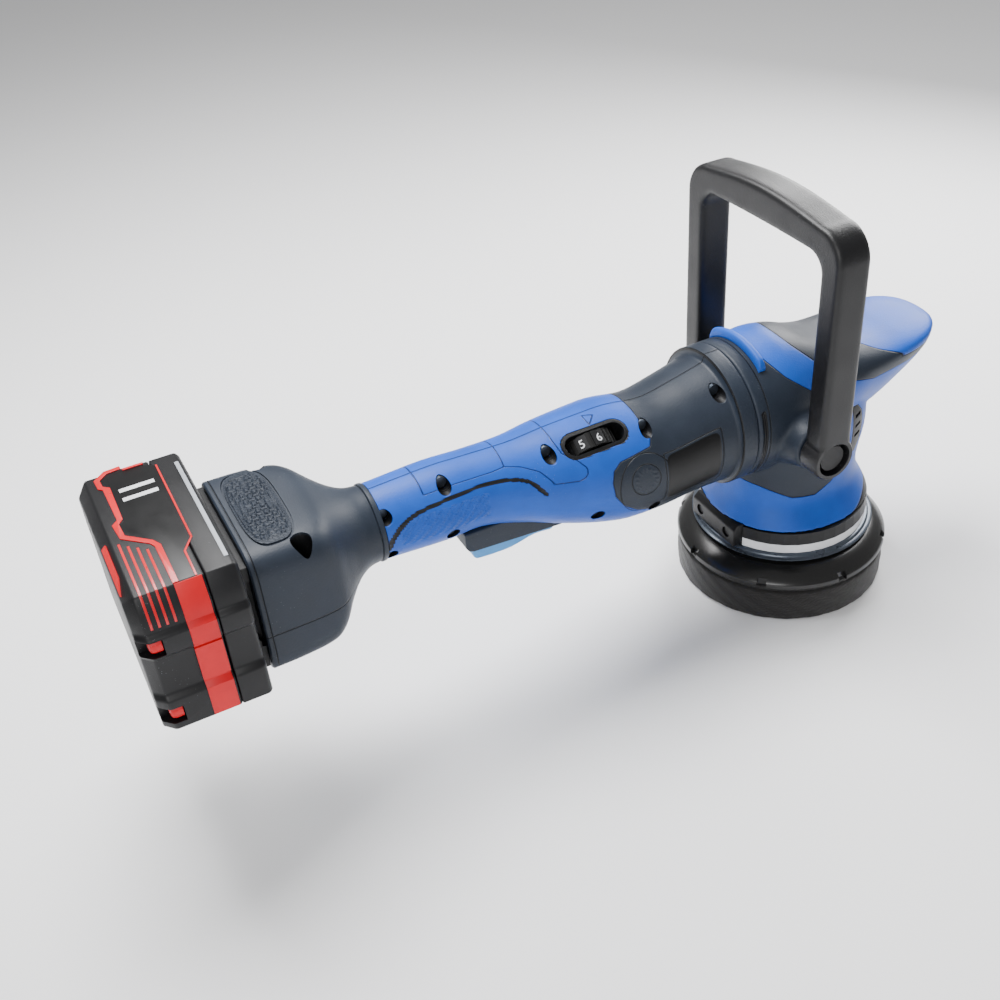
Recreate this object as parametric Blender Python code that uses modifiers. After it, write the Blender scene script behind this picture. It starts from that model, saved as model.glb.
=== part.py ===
"""Cordless dual action polisher, every piece a closed solid of its own.

Sizes are in millimetres and angles in degrees. +X runs forward from the battery to the palm grip,
+Z is up, and -Y is the side with the speed dial. The origin lies on the drive spindle's axis, in
the working face of the foam pad. Everything above the backing plate is modelled in a housing frame,
whose origin is the point where the spindle's axis meets the backing plate's top face.
"""
import math

import bmesh
import bpy
from mathutils import Matrix, Vector

MM = 0.001
GAP = 0.3                        # clearance between two pieces that touch on the real object
SEAM = 0.15                      # half the gap along a moulded parting line

# Pad stack, from the working face upwards
PAD_RADIUS = 62.0
FOAM_THICKNESS = 21.5
HOOK_THICKNESS = 1.9
PLATE_THICKNESS = 10.0
PLATE_RIM = 3.0                  # height of the backing plate's upright rim
PLATE_NOTCHES = 8
PLATE_NOTCH_WIDTH = 5.5
PLATE_NOTCH_DEPTH = 3.0
PAD_STUD_RADIUS = 4.0
ORBIT_OFFSET = 4.0               # half the orbit: distance between the pad's and the spindle's axes
ORBIT_ANGLE = -130.0            # direction of the pad's axis at rest, from +X

# Head
SEAL_RADIUS = 49.6
SHROUD_HEIGHT = 7.7
WALL = 3.0                       # wall of the head's shells
BARREL_RADIUS = 39.8
HEAD_SEAM_X = -51.5              # joint face between the head and the motor housing
NOSE_X = 91.5
SPINDLE_RADIUS = 6.0
DISC_CENTRE_X = 62.5
DISC_HALF_LENGTH = 33.0
DISC_HALF_WIDTH = 32.5
DISC_FLOOR = 105.6

# Motor and bevel gears
MOTOR_AXIS = 84.5                # height of the rotor's axis in the housing frame
CROWN_TEETH = 27
PINION_TEETH = 9
CROWN_RADIUS = 20.6              # pitch radius at the large end of the teeth
TOOTH_ADDENDUM = 0.8
TOOTH_DEDENDUM = 1.2
TOOTH_SHARE = 0.62               # small end of the teeth, as a share of the large end
STATOR_RADIUS = 24.5
STATOR_LENGTH = 27.0
STATOR_FRONT_X = -78.0
ROTOR_RADIUS = 12.0
SHAFT_RADIUS = 4.0
SLEEVE_RADIUS = 15.0

# Motor housing and handle
SHELL_WALL = 2.6
SKIN = 2.2                       # soft overmould on the handle
MOTOR_LENGTH = 129.5             # from the head's joint face to the start of the handle
HANDLE_LENGTH = 81.0             # from there to the collar
SKIN_FRONT_X = -104.3
FLANGE_LENGTH = 9.5
COLLAR_WIDTH = 3.0
PLUG_LENGTH = 7.0                # tube that reaches into the rear housing

# Speed dial
DIAL_X = -140.0
DIAL_ANGLE = 33.0                # tilt of the dial's radius from the vertical, towards -Y
DIAL_RADIUS = 15.5
DIAL_WIDTH = 8.6
DIAL_PROTRUSION = 1.0
DIAL_RIBS = 24
DIAL_WINDOW = (34.0, 11.0)

# Trigger
TRIGGER_FRONT_X = -162.5
TRIGGER_LENGTH = 48.0
TRIGGER_HALF_WIDTH = 10.0
TRIGGER_PIVOT = (-166.0, 69.0)

# Bail handle
BAIL_X = -19.7
BAIL_PIVOT_HEIGHT = 81.2
BAIL_HALF_SPAN = 64.2            # centre plane to the outer face of an arm
BAIL_ARM = 14.0                  # thickness of an arm, across the tool
BAIL_DEPTH = 20.0                # width of the bail along the tool
BAIL_RISE = 130.5                # pivot to the top of the corner
BAIL_CROWN = 4.5                 # extra height of the arched grip at its middle
BAIL_BAR = 19.0                  # thickness of the grip
BAIL_CORNER = 17.0
BAIL_CHAMFER = 2.4
BAIL_END_RADIUS = 12.6
BAIL_RECESS_RADIUS = 9.7
BAIL_RECESS_DEPTH = 7.0
BOSS_BASE_RADIUS = 17.0
BOSS_TIP_RADIUS = 13.0

# Rear housing and battery
REAR_LENGTH = 69.0               # collar to the rear housing's open end
REAR_HALF_WIDTH = 41.0
REAR_BOTTOM = 60.0
REAR_TOP = 131.0
REAR_WALL = 2.8
REAR_SPLIT = 86.0
SHOE_THICKNESS = 7.0
BATTERY_GAP = 1.0                # air between the shoe and the pack
BATTERY_DEPTH = 51.0             # along the tool
BATTERY_LENGTH = 115.0           # across the tool
BATTERY_BOTTOM = 63.0
BATTERY_TOP = 141.5
CASE_WALL = 2.4
STEP = 2.5                       # depth of the recesses in the battery's ends
CELL_RADIUS = 9.3
CELL_HEIGHT = 65.0

# Values worked out from the ones above
HALF = SEAM
PLATE_BASE = FOAM_THICKNESS + HOOK_THICKNESS + 2 * GAP
HOUSING_Z = PLATE_BASE + PLATE_THICKNESS
ORBIT = Vector((ORBIT_OFFSET * math.cos(math.radians(ORBIT_ANGLE)),
                ORBIT_OFFSET * math.sin(math.radians(ORBIT_ANGLE)), 0.0))
SEAL_BASE = 4.3
SHROUD_BASE = 10.3
HEAD_BASE = SHROUD_BASE + SHROUD_HEIGHT + GAP
PINION_RADIUS = CROWN_RADIUS * PINION_TEETH / CROWN_TEETH
HANDLE_X = HEAD_SEAM_X - MOTOR_LENGTH
COLLAR_X = HANDLE_X - HANDLE_LENGTH
REAR_X = COLLAR_X - REAR_LENGTH
SHOE_X = REAR_X - 4.2
PACK_X = SHOE_X - BATTERY_GAP
PACK_SPLIT_X = PACK_X - 15.0
PACK_REAR_X = PACK_X - BATTERY_DEPTH
TRIGGER_REAR_X = TRIGGER_FRONT_X - TRIGGER_LENGTH
STATOR_REAR_X = STATOR_FRONT_X - STATOR_LENGTH

FINISHES = {
    "nylon": ((0.055, 0.075, 0.105), 0.55, 0.0),
    "blue": ((0.045, 0.200, 0.620), 0.60, 0.0),
    "pale_blue": ((0.200, 0.480, 0.800), 0.55, 0.0),
    "black": ((0.012, 0.012, 0.014), 0.45, 0.0),
    "gloss_black": ((0.008, 0.008, 0.009), 0.20, 0.0),
    "red": ((0.800, 0.020, 0.040), 0.45, 0.0),
    "seal": ((0.750, 0.760, 0.780), 0.55, 0.0),
    "foam": ((0.045, 0.042, 0.040), 0.95, 0.0),
    "hook": ((0.020, 0.020, 0.022), 0.95, 0.0),
    "steel": ((0.550, 0.560, 0.580), 0.30, 1.0),
    "dark_steel": ((0.120, 0.150, 0.190), 0.35, 0.8),
    "aluminium": ((0.700, 0.700, 0.720), 0.40, 1.0),
    "copper": ((0.500, 0.220, 0.110), 0.45, 0.7),
    "board": ((0.020, 0.130, 0.060), 0.50, 0.0),
    "brass": ((0.720, 0.520, 0.220), 0.35, 1.0),
}

parts = None
cutters = None
frames = {}


# ---------------------------------------------------------------- scene, frames and materials

def clear_scene():
    """Remove every object and start the two collections."""
    global parts, cutters
    for obj in list(bpy.data.objects):
        bpy.data.objects.remove(obj, do_unlink=True)
    parts = bpy.data.collections.new("dual_action_polisher")
    cutters = bpy.data.collections.new("cutters")
    bpy.context.scene.collection.children.link(parts)
    bpy.context.scene.collection.children.link(cutters)


def add_frame(name, location, parent=None):
    """An empty that carries the pieces of one moving body, placed on its joint's axis."""
    empty = bpy.data.objects.new(name, None)
    empty.location = Vector(location) * MM
    empty.empty_display_size = 10 * MM
    if parent:
        empty.parent = bpy.data.objects[parent]
    parts.objects.link(empty)
    frames[name] = Vector(location)
    return empty


def material_for(name, finish):
    """The piece's own Principled material."""
    colour, roughness, metallic = FINISHES[finish]
    made = bpy.data.materials.new(name)
    made.use_nodes = True
    shader = made.node_tree.nodes["Principled BSDF"]
    shader.inputs["Base Color"].default_value = (*colour, 1.0)
    shader.inputs["Roughness"].default_value = roughness
    shader.inputs["Metallic"].default_value = metallic
    made.diffuse_color = (*colour, 1.0)
    return made


def put(name, mesh, finish, frame="housing", local=False):
    """Make a mesh a piece. A mesh in housing coordinates keeps its place under its own frame."""
    obj = bpy.data.objects.new(name, mesh)
    parts.objects.link(obj)
    obj.parent = bpy.data.objects[frame]
    if not local and frame != "housing":
        obj.matrix_parent_inverse = Matrix.Translation(-frames[frame] * MM)
    mesh.materials.clear()
    mesh.materials.append(material_for(name, finish))
    mesh.shade_smooth()
    mesh.set_sharp_from_angle(angle=math.radians(32))
    return obj


def cutter(name, mesh, frame="housing"):
    """A mesh that only shapes other pieces."""
    obj = bpy.data.objects.new(name, mesh)
    cutters.objects.link(obj)
    obj.parent = bpy.data.objects[frame]
    obj.hide_render = True
    obj.display_type = "WIRE"
    return obj


def boolean(obj, other, operation="DIFFERENCE"):
    """Cut, join or intersect with another object."""
    step = obj.modifiers.new(f"{operation.lower()}_{other.name}", "BOOLEAN")
    step.operation = operation
    step.object = other
    step.solver = "EXACT"


# ---------------------------------------------------------------- meshes

def finish_mesh(name, work):
    """Turn a working mesh in millimetres into a Blender mesh in metres, faces outward."""
    bmesh.ops.recalc_face_normals(work, faces=work.faces)
    bmesh.ops.scale(work, vec=(MM, MM, MM), verts=work.verts)
    mesh = bpy.data.meshes.new(name)
    work.to_mesh(mesh)
    work.free()
    return mesh


def box(name, low, high):
    """A box between two corners."""
    work = bmesh.new()
    bmesh.ops.create_cube(work, size=1.0)
    size = Vector(high) - Vector(low)
    middle = (Vector(high) + Vector(low)) / 2
    bmesh.ops.scale(work, vec=size, verts=work.verts)
    bmesh.ops.translate(work, vec=middle, verts=work.verts)
    return finish_mesh(name, work)


TURN = {"X": Matrix(((0, 0, 1), (1, 0, 0), (0, 1, 0))),
        "Y": Matrix(((1, 0, 0), (0, 0, -1), (0, 1, 0))),
        "Z": Matrix.Identity(3)}


def rod(name, axis, centre, low, high, radius, end_radius=None, sides=24):
    """A cylinder or cone along an axis, between two coordinates on it."""
    work = bmesh.new()
    bmesh.ops.create_cone(work, cap_ends=True, segments=sides, radius1=radius,
                          radius2=radius if end_radius is None else end_radius, depth=high - low)
    if axis == "Y":
        bmesh.ops.rotate(work, matrix=Matrix.Rotation(math.radians(-90), 3, "X"), verts=work.verts)
    else:
        bmesh.ops.rotate(work, matrix=TURN[axis], verts=work.verts)
    middle = Vector(centre)
    middle["XYZ".index(axis)] = (low + high) / 2
    bmesh.ops.translate(work, vec=middle, verts=work.verts)
    return finish_mesh(name, work)


def prism(name, outline, axis, low, high):
    """A flat outline, as a filled 2D curve, extruded along an axis between two coordinates.

    The outline is (y, z) for X, (x, z) for Y and (x, y) for Z.
    """
    curve = bpy.data.curves.new(name, "CURVE")
    curve.dimensions = "2D"
    curve.fill_mode = "BOTH"
    curve.extrude = (high - low) / 2
    spline = curve.splines.new("POLY")
    spline.points.add(len(outline) - 1)
    for point, (u, v) in zip(spline.points, outline):
        point.co = (u, v, 0.0, 1.0)
    spline.use_cyclic_u = True
    guide = bpy.data.objects.new(name, curve)
    cutters.objects.link(guide)
    graph = bpy.context.evaluated_depsgraph_get()
    mesh = bpy.data.meshes.new_from_object(guide.evaluated_get(graph))
    bpy.data.objects.remove(guide)
    bpy.data.curves.remove(curve)
    work = bmesh.new()
    work.from_mesh(mesh)
    bpy.data.meshes.remove(mesh)
    bmesh.ops.remove_doubles(work, verts=work.verts, dist=0.001)
    bmesh.ops.rotate(work, matrix=TURN[axis], verts=work.verts)
    middle = Vector((0.0, 0.0, 0.0))
    middle["XYZ".index(axis)] = (low + high) / 2
    bmesh.ops.translate(work, vec=middle, verts=work.verts)
    return finish_mesh(name, work)


def loft(name, rings, triangles=False):
    """A closed skin through rings with the same number of points, capped at both ends."""
    work = bmesh.new()
    rows = [[work.verts.new(point) for point in ring] for ring in rings]
    count = len(rows[0])
    for first, second in zip(rows, rows[1:]):
        for i in range(count):
            j = (i + 1) % count
            work.faces.new((first[i], first[j], second[j], second[i]))
    work.faces.new(rows[0])
    work.faces.new(reversed(rows[-1]))
    if triangles:
        bmesh.ops.triangulate(work, faces=work.faces)
    return finish_mesh(name, work)


def hoop(name, rings):
    """A closed skin through rings that come back to the first one."""
    work = bmesh.new()
    rows = [[work.verts.new(point) for point in ring] for ring in rings]
    count = len(rows[0])
    for first, second in zip(rows, rows[1:] + rows[:1]):
        for i in range(count):
            j = (i + 1) % count
            work.faces.new((first[i], first[j], second[j], second[i]))
    return finish_mesh(name, work)


def turned(name, profile, finish, frame, centre=(0, 0, 0), axis="Z", steps=40):
    """A profile of (radius, height) points turned around an axis with a Screw modifier.

    A profile that starts off the axis closes on itself, as a ring. It runs down its outer side.
    """
    ring = profile[0][0] > 0
    mesh = bpy.data.meshes.new(name)
    edges = [(i, i + 1) for i in range(len(profile) - 1)]
    if ring:
        edges.append((len(profile) - 1, 0))
    mesh.from_pydata([(r * MM, 0.0, z * MM) for r, z in profile], edges, [])
    obj = bpy.data.objects.new(name, mesh)
    parts.objects.link(obj)
    obj.parent = bpy.data.objects[frame]
    obj.location = Vector(centre) * MM
    if axis == "X":
        obj.rotation_euler = (0.0, math.radians(90), 0.0)
    if axis == "Y":
        obj.rotation_euler = (math.radians(-90), 0.0, 0.0)
    screw = obj.modifiers.new("turn", "SCREW")
    screw.steps = steps
    screw.render_steps = steps
    screw.use_merge_vertices = True
    screw.merge_threshold = 0.00001
    screw.use_smooth_shade = True
    mesh.materials.append(material_for(name, finish))
    return obj


def ring_profile(inner, outer, low, high):
    """The profile of a plain ring."""
    return [(inner, high), (outer, high), (outer, low), (inner, low)]


def superellipse(count, exponent=2.0):
    """Unit points of a superellipse, counter-clockwise from +u."""
    points = []
    for i in range(count):
        angle = math.tau * i / count
        cosine = round(math.cos(angle), 9)
        sine = round(math.sin(angle), 9)
        points.append((math.copysign(abs(cosine) ** (2 / exponent), cosine),
                       math.copysign(abs(sine) ** (2 / exponent), sine)))
    return points


def table_at(table, x):
    """A row of a table at x, through its rows on a smooth Catmull-Rom curve."""
    rows = sorted(table)
    x = min(max(x, rows[0][0]), rows[-1][0])
    k = next(i for i in range(len(rows) - 1) if x <= rows[i + 1][0] + 1e-9)
    before = rows[max(k - 1, 0)]
    first = rows[k]
    second = rows[k + 1]
    after = rows[min(k + 2, len(rows) - 1)]
    span = second[0] - first[0]
    t = (x - first[0]) / span
    values = []
    for a, b, c, d in zip(before[1:], first[1:], second[1:], after[1:]):
        slope_in = (c - a) / (second[0] - before[0]) * span
        slope_out = (d - b) / (after[0] - first[0]) * span
        values.append((2 * t ** 3 - 3 * t ** 2 + 1) * b + (t ** 3 - 2 * t ** 2 + t) * slope_in
                      + (3 * t ** 2 - 2 * t ** 3) * c + (t ** 3 - t ** 2) * slope_out)
    return values


def steps_between(low, high, longest):
    """Even steps from low to high, none longer than given."""
    count = max(1, math.ceil(abs(high - low) / longest))
    return [low + (high - low) * i / count for i in range(count + 1)]


# ---------------------------------------------------------------- pad stack

def pad_stack():
    """Foam pad, its hook and loop disc, the backing plate and the pad spindle."""
    edge = 2.0
    turned("foam_pad", [(0, FOAM_THICKNESS), (PAD_RADIUS - edge, FOAM_THICKNESS),
                        (PAD_RADIUS, FOAM_THICKNESS - edge), (PAD_RADIUS, edge),
                        (PAD_RADIUS - edge, 0), (0, 0)], "foam", "pad_axis", steps=40)
    hook_base = FOAM_THICKNESS + GAP
    turned("hook_loop_disc", [(0, hook_base + HOOK_THICKNESS),
                              (PAD_RADIUS - 1.2, hook_base + HOOK_THICKNESS),
                              (PAD_RADIUS - 1.2, hook_base), (0, hook_base)],
           "hook", "pad_axis", steps=40)
    rim = PAD_RADIUS + 0.5
    bore = PAD_STUD_RADIUS + GAP
    plate = turned("backing_plate", [(bore, HOUSING_Z), (rim - 11.5, HOUSING_Z),
                                     (rim - 8.5, HOUSING_Z - 0.5), (rim - 1.7, PLATE_BASE + 5.0),
                                     (rim, PLATE_BASE + PLATE_RIM), (rim, PLATE_BASE),
                                     (bore, PLATE_BASE)], "gloss_black", "pad_axis", steps=40)
    for i in range(PLATE_NOTCHES):
        angle = math.radians(-47.0 + 360.0 * i / PLATE_NOTCHES)
        low = (rim - PLATE_NOTCH_DEPTH, -PLATE_NOTCH_WIDTH / 2, PLATE_BASE - 1.0)
        high = (rim + 2.0, PLATE_NOTCH_WIDTH / 2, PLATE_BASE + 5.5)
        notch = cutter(f"plate_notch_{i}", box(f"plate_notch_{i}", low, high), "pad_axis")
        notch.rotation_euler = (0.0, 0.0, angle)
        boolean(plate, notch)
    flange = HOUSING_Z + GAP
    turned("pad_spindle", [(0, flange + 22.0), (6.4, flange + 22.0), (6.4, flange + 4.0),
                           (13.0, flange + 4.0), (13.0, flange), (PAD_STUD_RADIUS, flange),
                           (PAD_STUD_RADIUS, PLATE_BASE + 1.0), (0, PLATE_BASE + 1.0)],
           "steel", "pad_axis", steps=24)


# ---------------------------------------------------------------- seal, shroud and its clamp

def seal_and_shroud():
    """Carrier ring, brake seal and shroud, which hang under the head around the pad spindle."""
    turned("seal_carrier", [(SEAL_RADIUS - 5, SEAL_BASE - GAP), (SEAL_RADIUS + 1.4, SEAL_BASE - GAP),
                            (SEAL_RADIUS + 2.0, SEAL_BASE - 1.3), (SEAL_RADIUS + 4.2, SEAL_BASE - 1.6),
                            (SEAL_RADIUS + 4.4, SEAL_BASE - 2.5), (SEAL_RADIUS - 5, SEAL_BASE - 2.5)],
           "dark_steel", "housing", steps=40)
    seal_top = SHROUD_BASE - GAP
    turned("brake_seal", ring_profile(SEAL_RADIUS - 3.5, SEAL_RADIUS, SEAL_BASE, seal_top),
           "seal", "housing", steps=40)
    shroud_top = SHROUD_BASE + SHROUD_HEIGHT
    turned("lower_shroud", [(SEAL_RADIUS - 6, shroud_top), (SEAL_RADIUS, shroud_top),
                            (SEAL_RADIUS + 0.4, SHROUD_BASE), (SEAL_RADIUS - 6, SHROUD_BASE)],
           "black", "housing", steps=40)


def shroud_clamp():
    """Block behind the shroud, with the two screws that pull the shroud tight."""
    low_x = -50.8
    high_x = -38.5
    half = 21.0
    bottom = 4.6
    top = 19.4
    outline = [(low_x, bottom), (high_x, bottom), (high_x, top), (low_x + 3.5, top), (low_x, top - 3.5)]
    clamp = put("shroud_clamp", prism("shroud_clamp", outline, "Y", -half, half), "black")
    room = cutter("clamp_room", prism("clamp_room", [(low_x - 2, bottom - GAP),
        (high_x + GAP, bottom - GAP),
                                                     (high_x + GAP, top + GAP), (low_x - 2, top + GAP)],
                                      "Y", -half - GAP, half + GAP))
    for name in ("brake_seal", "lower_shroud"):
        boolean(bpy.data.objects[name], room)
    for side, word in ((-1, "right"), (1, "left")):
        y = side * 13.0
        height = (bottom + top) / 2 - 1.0
        boolean(clamp, cutter(f"clamp_bore_{word}", rod(f"clamp_bore_{word}", "X", (0, y, height),
                                                        low_x - 1, low_x + 9.0, 3.3, sides=16)))
        turned(f"clamp_screw_{word}", [(0, 7.0), (1.8, 7.0), (1.8, 2.0), (3.0, 2.0), (3.0, 0), (0, 0)],
               "steel", "housing", (low_x + 1.2, y, height), "X", steps=12)
    return room


# ---------------------------------------------------------------- head

# height, reach to the front, reach to the rear, half width
BELL = [(18.3, 49.2, 49.0, 48.4), (24.0, 47.0, 46.5, 43.6), (32.0, 43.4, 44.0, 37.6),
        (41.0, 42.6, 43.0, 35.8), (51.0, 44.2, 43.0, 36.0), (62.0, 46.4, 43.0, 36.8),
        (76.0, 46.0, 42.0, 36.6), (90.0, 42.0, 40.0, 33.0)]
# x, top, height of the widest point, bottom, half width, exponents of the section above and below
NOSE = [(HEAD_SEAM_X + GAP, 129.1, 89.3, 49.5, BARREL_RADIUS, 2.0, 2.0),
        (-40.0, 129.3, 89.4, 49.6, BARREL_RADIUS, 2.0, 2.0), (-30.0, 130.0, 90.0, 50.0, 39.3, 2.05, 2.0),
        (-21.0, 130.6, 91.0, 52.0, 38.6, 2.1, 2.0), (-8.0, 128.0, 92.0, 56.0, 37.2, 2.15, 2.0),
        (5.0, 122.5, 95.0, 58.0, 35.8, 2.2, 1.9), (20.0, 117.0, 99.0, 59.0, 34.0, 2.3, 1.8),
        (33.0, 114.0, 102.5, 58.0, 32.5, 2.5, 1.6), (48.0, 113.0, 105.0, 58.0, 31.5, 2.7, 1.4),
        (62.0, 114.0, 107.5, 65.0, 30.5, 2.8, 1.3), (74.0, 114.5, 109.5, 77.0, 27.0, 2.6, 1.4),
        (83.0, 114.0, 111.0, 86.0, 20.5, 2.4, 1.6), (88.5, 113.0, 110.5, 93.5, 13.5, 2.2, 1.8),
        (NOSE_X, 110.5, 108.5, 102.0, 6.5, 2.0, 2.0)]
# seam between the soft front and the dark cover above it, as (x, height)
COVER_SEAM = [(-25.0, 160.0), (-24.0, 138.0), (-15.0, 127.0), (0.0, 113.5), (14.0, 104.0),
              (32.0, 98.8), (60.0, 99.6), (85.0, 103.4), (110.0, 106.5)]
# seam between the dark casing and the soft front, as (x, height)
CASING_SEAM = [(-43.0, 160.0), (-42.0, 134.0), (-28.0, 118.0), (-13.0, 106.5), (5.6, 90.0),
               (14.0, 76.0), (17.0, 63.0), (14.0, 50.0), (6.0, 40.5), (-6.0, 35.4), (-20.0, 36.4),
               (-35.0, 44.0), (-60.0, 52.5)]


def head_bell(name, grow):
    """The bell over the pad, as a loft along Z, grown or shrunk by an offset."""
    ends = 12.0 if grow < 0 else 0.0
    heights = [row[0] for row in BELL]
    heights[0] -= ends
    rings = []
    for height in heights:
        front, rear, half = table_at(BELL, height)
        ring = [(((front if u > 0 else rear) + grow) * u, (half + grow) * v, height)
                for u, v in superellipse(24, 2.15)]
        rings.append(ring)
    return loft(name, rings, triangles=True)


def head_barrel(name, grow):
    """The barrel and palm grip, as a loft along X, grown or shrunk by an offset."""
    rings = []
    for k, (x, top, widest, bottom, half, upper, lower) in enumerate(NOSE):
        if k == 0 and grow < 0:
            x -= 10.0
        if k == len(NOSE) - 1:
            x += grow
        above = max(top - widest + grow, 0.6)
        below = max(widest - bottom + grow, 0.6)
        wide = max(half + grow, 0.6)
        points = [(u, above * v) for u, v in superellipse(24, upper) if v >= 0]
        points += [(u, below * v) for u, v in superellipse(24, lower) if v < 0]
        rings.append([(x, wide * u, widest + rise) for u, rise in points])
    if grow < 0:
        rings = rings[:-2]
    return loft(name, rings, triangles=True)


def shifted(line, distance):
    """A polyline moved sideways, to the left of its direction."""
    moved = []
    for i, (x, z) in enumerate(line):
        x0, z0 = line[max(i - 1, 0)]
        x1, z1 = line[min(i + 1, len(line) - 1)]
        length = math.hypot(x1 - x0, z1 - z0)
        moved.append((x - (z1 - z0) / length * distance, z + (x1 - x0) / length * distance))
    return moved


def head_region(name, seam, corner, distance):
    """A slab across the tool on one side of a seam."""
    outline = shifted(seam, distance) + corner
    return cutter(name, prism(name, outline, "Y", -75, 75))


def head_shell(name, finish):
    """One copy of the head's hollow shell, to be trimmed to a region."""
    shell = put(name, head_bell(name, 0.0), finish)
    boolean(shell, bpy.data.objects["barrel_outer"], "UNION")
    boolean(shell, bpy.data.objects["barrel_inner"])
    boolean(shell, bpy.data.objects["bell_inner"])
    return shell


def boss_solid(name, side, grow):
    """Cone on the casing's flank that carries the bail's pivot."""
    tip = BAIL_HALF_SPAN - BAIL_ARM - GAP
    low, high = (tip, 30.0) if side < 0 else (30.0, tip)
    radii = (BOSS_TIP_RADIUS, BOSS_BASE_RADIUS + 2.5)
    first, second = radii if side < 0 else radii[::-1]
    low, high = (-low, -high) if side < 0 else (low, high)
    return rod(name, "Y", (BAIL_X, 0, BAIL_PIVOT_HEIGHT), low, high, first + grow, second + grow,
        sides=28)


def head():
    """Casing, soft front and palm cover, cut out of one shell along their seams."""
    cutter("barrel_outer", head_barrel("barrel_outer", 0.0))
    cutter("barrel_inner", head_barrel("barrel_inner", -WALL))
    cutter("bell_inner", head_bell("bell_inner", -WALL))
    far = [(110.0, 160.0)]
    near = [(-75.0, 50.5), (-75.0, 160.0)]

    casing = head_shell("head_casing", "nylon")
    for side, word in ((-1, "right"), (1, "left")):
        boolean(casing, cutter(f"pivot_boss_{word}", boss_solid(f"pivot_boss_{word}", side, 0.0)),
            "UNION")
    boolean(casing, head_region("casing_keep", CASING_SEAM, near, -SEAM), "INTERSECT")
    for side, word in ((-1, "right"), (1, "left")):
        bore = rod(f"pivot_bore_{word}", "Y", (BAIL_X, 0, BAIL_PIVOT_HEIGHT),
            *sorted((side * 25.0, side * (BAIL_HALF_SPAN - 4.2))),
                   5.3, sides=20)
        boolean(casing, cutter(f"pivot_bore_{word}", bore))

    front = head_shell("head_overmould", "blue")
    boolean(front, head_region("front_less_casing", CASING_SEAM, near, SEAM))
    boolean(front, head_region("front_less_cover", COVER_SEAM, far, -SEAM))
    for side, word in ((-1, "right"), (1, "left")):
        boolean(front, cutter(f"boss_room_{word}", boss_solid(f"boss_room_{word}", side, GAP)))

    cover = head_shell("palm_cover", "nylon")
    boolean(cover, head_region("cover_keep", COVER_SEAM, far, SEAM), "INTERSECT")
    return casing, front, cover


def palm_disc(cover):
    """Soft oval pad under the palm, set into the cover."""
    def oval(grow):
        return [(DISC_CENTRE_X + (DISC_HALF_LENGTH + grow) * u, (DISC_HALF_WIDTH + grow) * v)
                for u, v in superellipse(28, 2.1)]
    boolean(cover, cutter("disc_room", prism("disc_room", oval(SEAM), "Z", DISC_FLOOR - GAP, 129)))
    disc = put("palm_disc", prism("palm_disc", oval(-SEAM), "Z", DISC_FLOOR, 128), "blue")
    boolean(disc, bpy.data.objects["barrel_outer"], "INTERSECT")


def side_vents(front):
    """Vent inserts in the soft front, beside the bail's arms."""
    outline = [(18.6, 84.0), (24.0, 83.0), (28.0, 78.0), (29.0, 68.0), (28.0, 58.0), (24.5, 52.0),
               (19.0, 52.0)]
    middle = (24.0, 68.0)
    def grown(amount):
        out = []
        for x, z in outline:
            reach = math.hypot(x - middle[0], z - middle[1])
            out.append((x + (x - middle[0]) / reach * amount, z + (z - middle[1]) / reach * amount))
        return out
    for side, word in ((-1, "right"), (1, "left")):
        low, high = sorted((side * 15.0, side * 45.0))
        boolean(front, cutter(f"vent_room_{word}", prism(f"vent_room_{word}", grown(GAP), "Y", low,
            high)))
        insert = head_shell(f"side_vent_{word}", "black")
        boolean(insert, cutter(f"vent_keep_{word}", prism(f"vent_keep_{word}", outline, "Y", low, high)),
                "INTERSECT")
        for i in range(3):
            height = 63.0 + 6.0 * i
            boolean(insert, cutter(f"vent_slot_{word}_{i}",
                box(f"vent_slot_{word}_{i}", (21.5, low, height),
                                                               (26.0, high, height + 2.2))))


def finger_stop():
    """Raised rib across the top of the head, in front of the motor housing."""
    def arc(radius, half_angle, count):
        return [(radius * math.sin(math.radians(a)), 89.4 + radius * math.cos(math.radians(a)))
                for a in [half_angle * (2 * i / count - 1) for i in range(count + 1)]]
    outline = arc(44.2, 34.0, 14) + arc(38.0, 40.0, 10)[::-1]
    rib = put("finger_stop", prism("finger_stop", outline, "X", -41.5, -36.5), "blue")
    boolean(rib, cutter("barrel_room", head_barrel("barrel_room", GAP)))


def gear_housing():
    """Cast case for the bevel gears, with its sleeve and the plate that carries the motor."""
    case = turned("gear_housing", [(9.8, 113.0), (14.0, 113.0), (14.0, 104.5), (28.5, 104.5),
                                   (28.5, 50.0), (14.3, 50.0), (14.3, 61.0), (24.6, 61.0),
                                   (24.6, 100.0), (9.8, 100.0)], "aluminium", "housing", steps=28)
    centre = (0, 0, MOTOR_AXIS)
    boolean(case, cutter("sleeve", rod("sleeve", "X", centre, -64.0, -26.0, SLEEVE_RADIUS, sides=24)),
        "UNION")
    boolean(case, cutter("motor_plate", rod("motor_plate", "X", centre, -67.5, -64.0, 26.5, sides=24)),
        "UNION")
    boolean(case, cutter("sleeve_bore", rod("sleeve_bore", "X", centre, -70.0, -20.0, 11.3, sides=24)))


# ---------------------------------------------------------------- drive line

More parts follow.
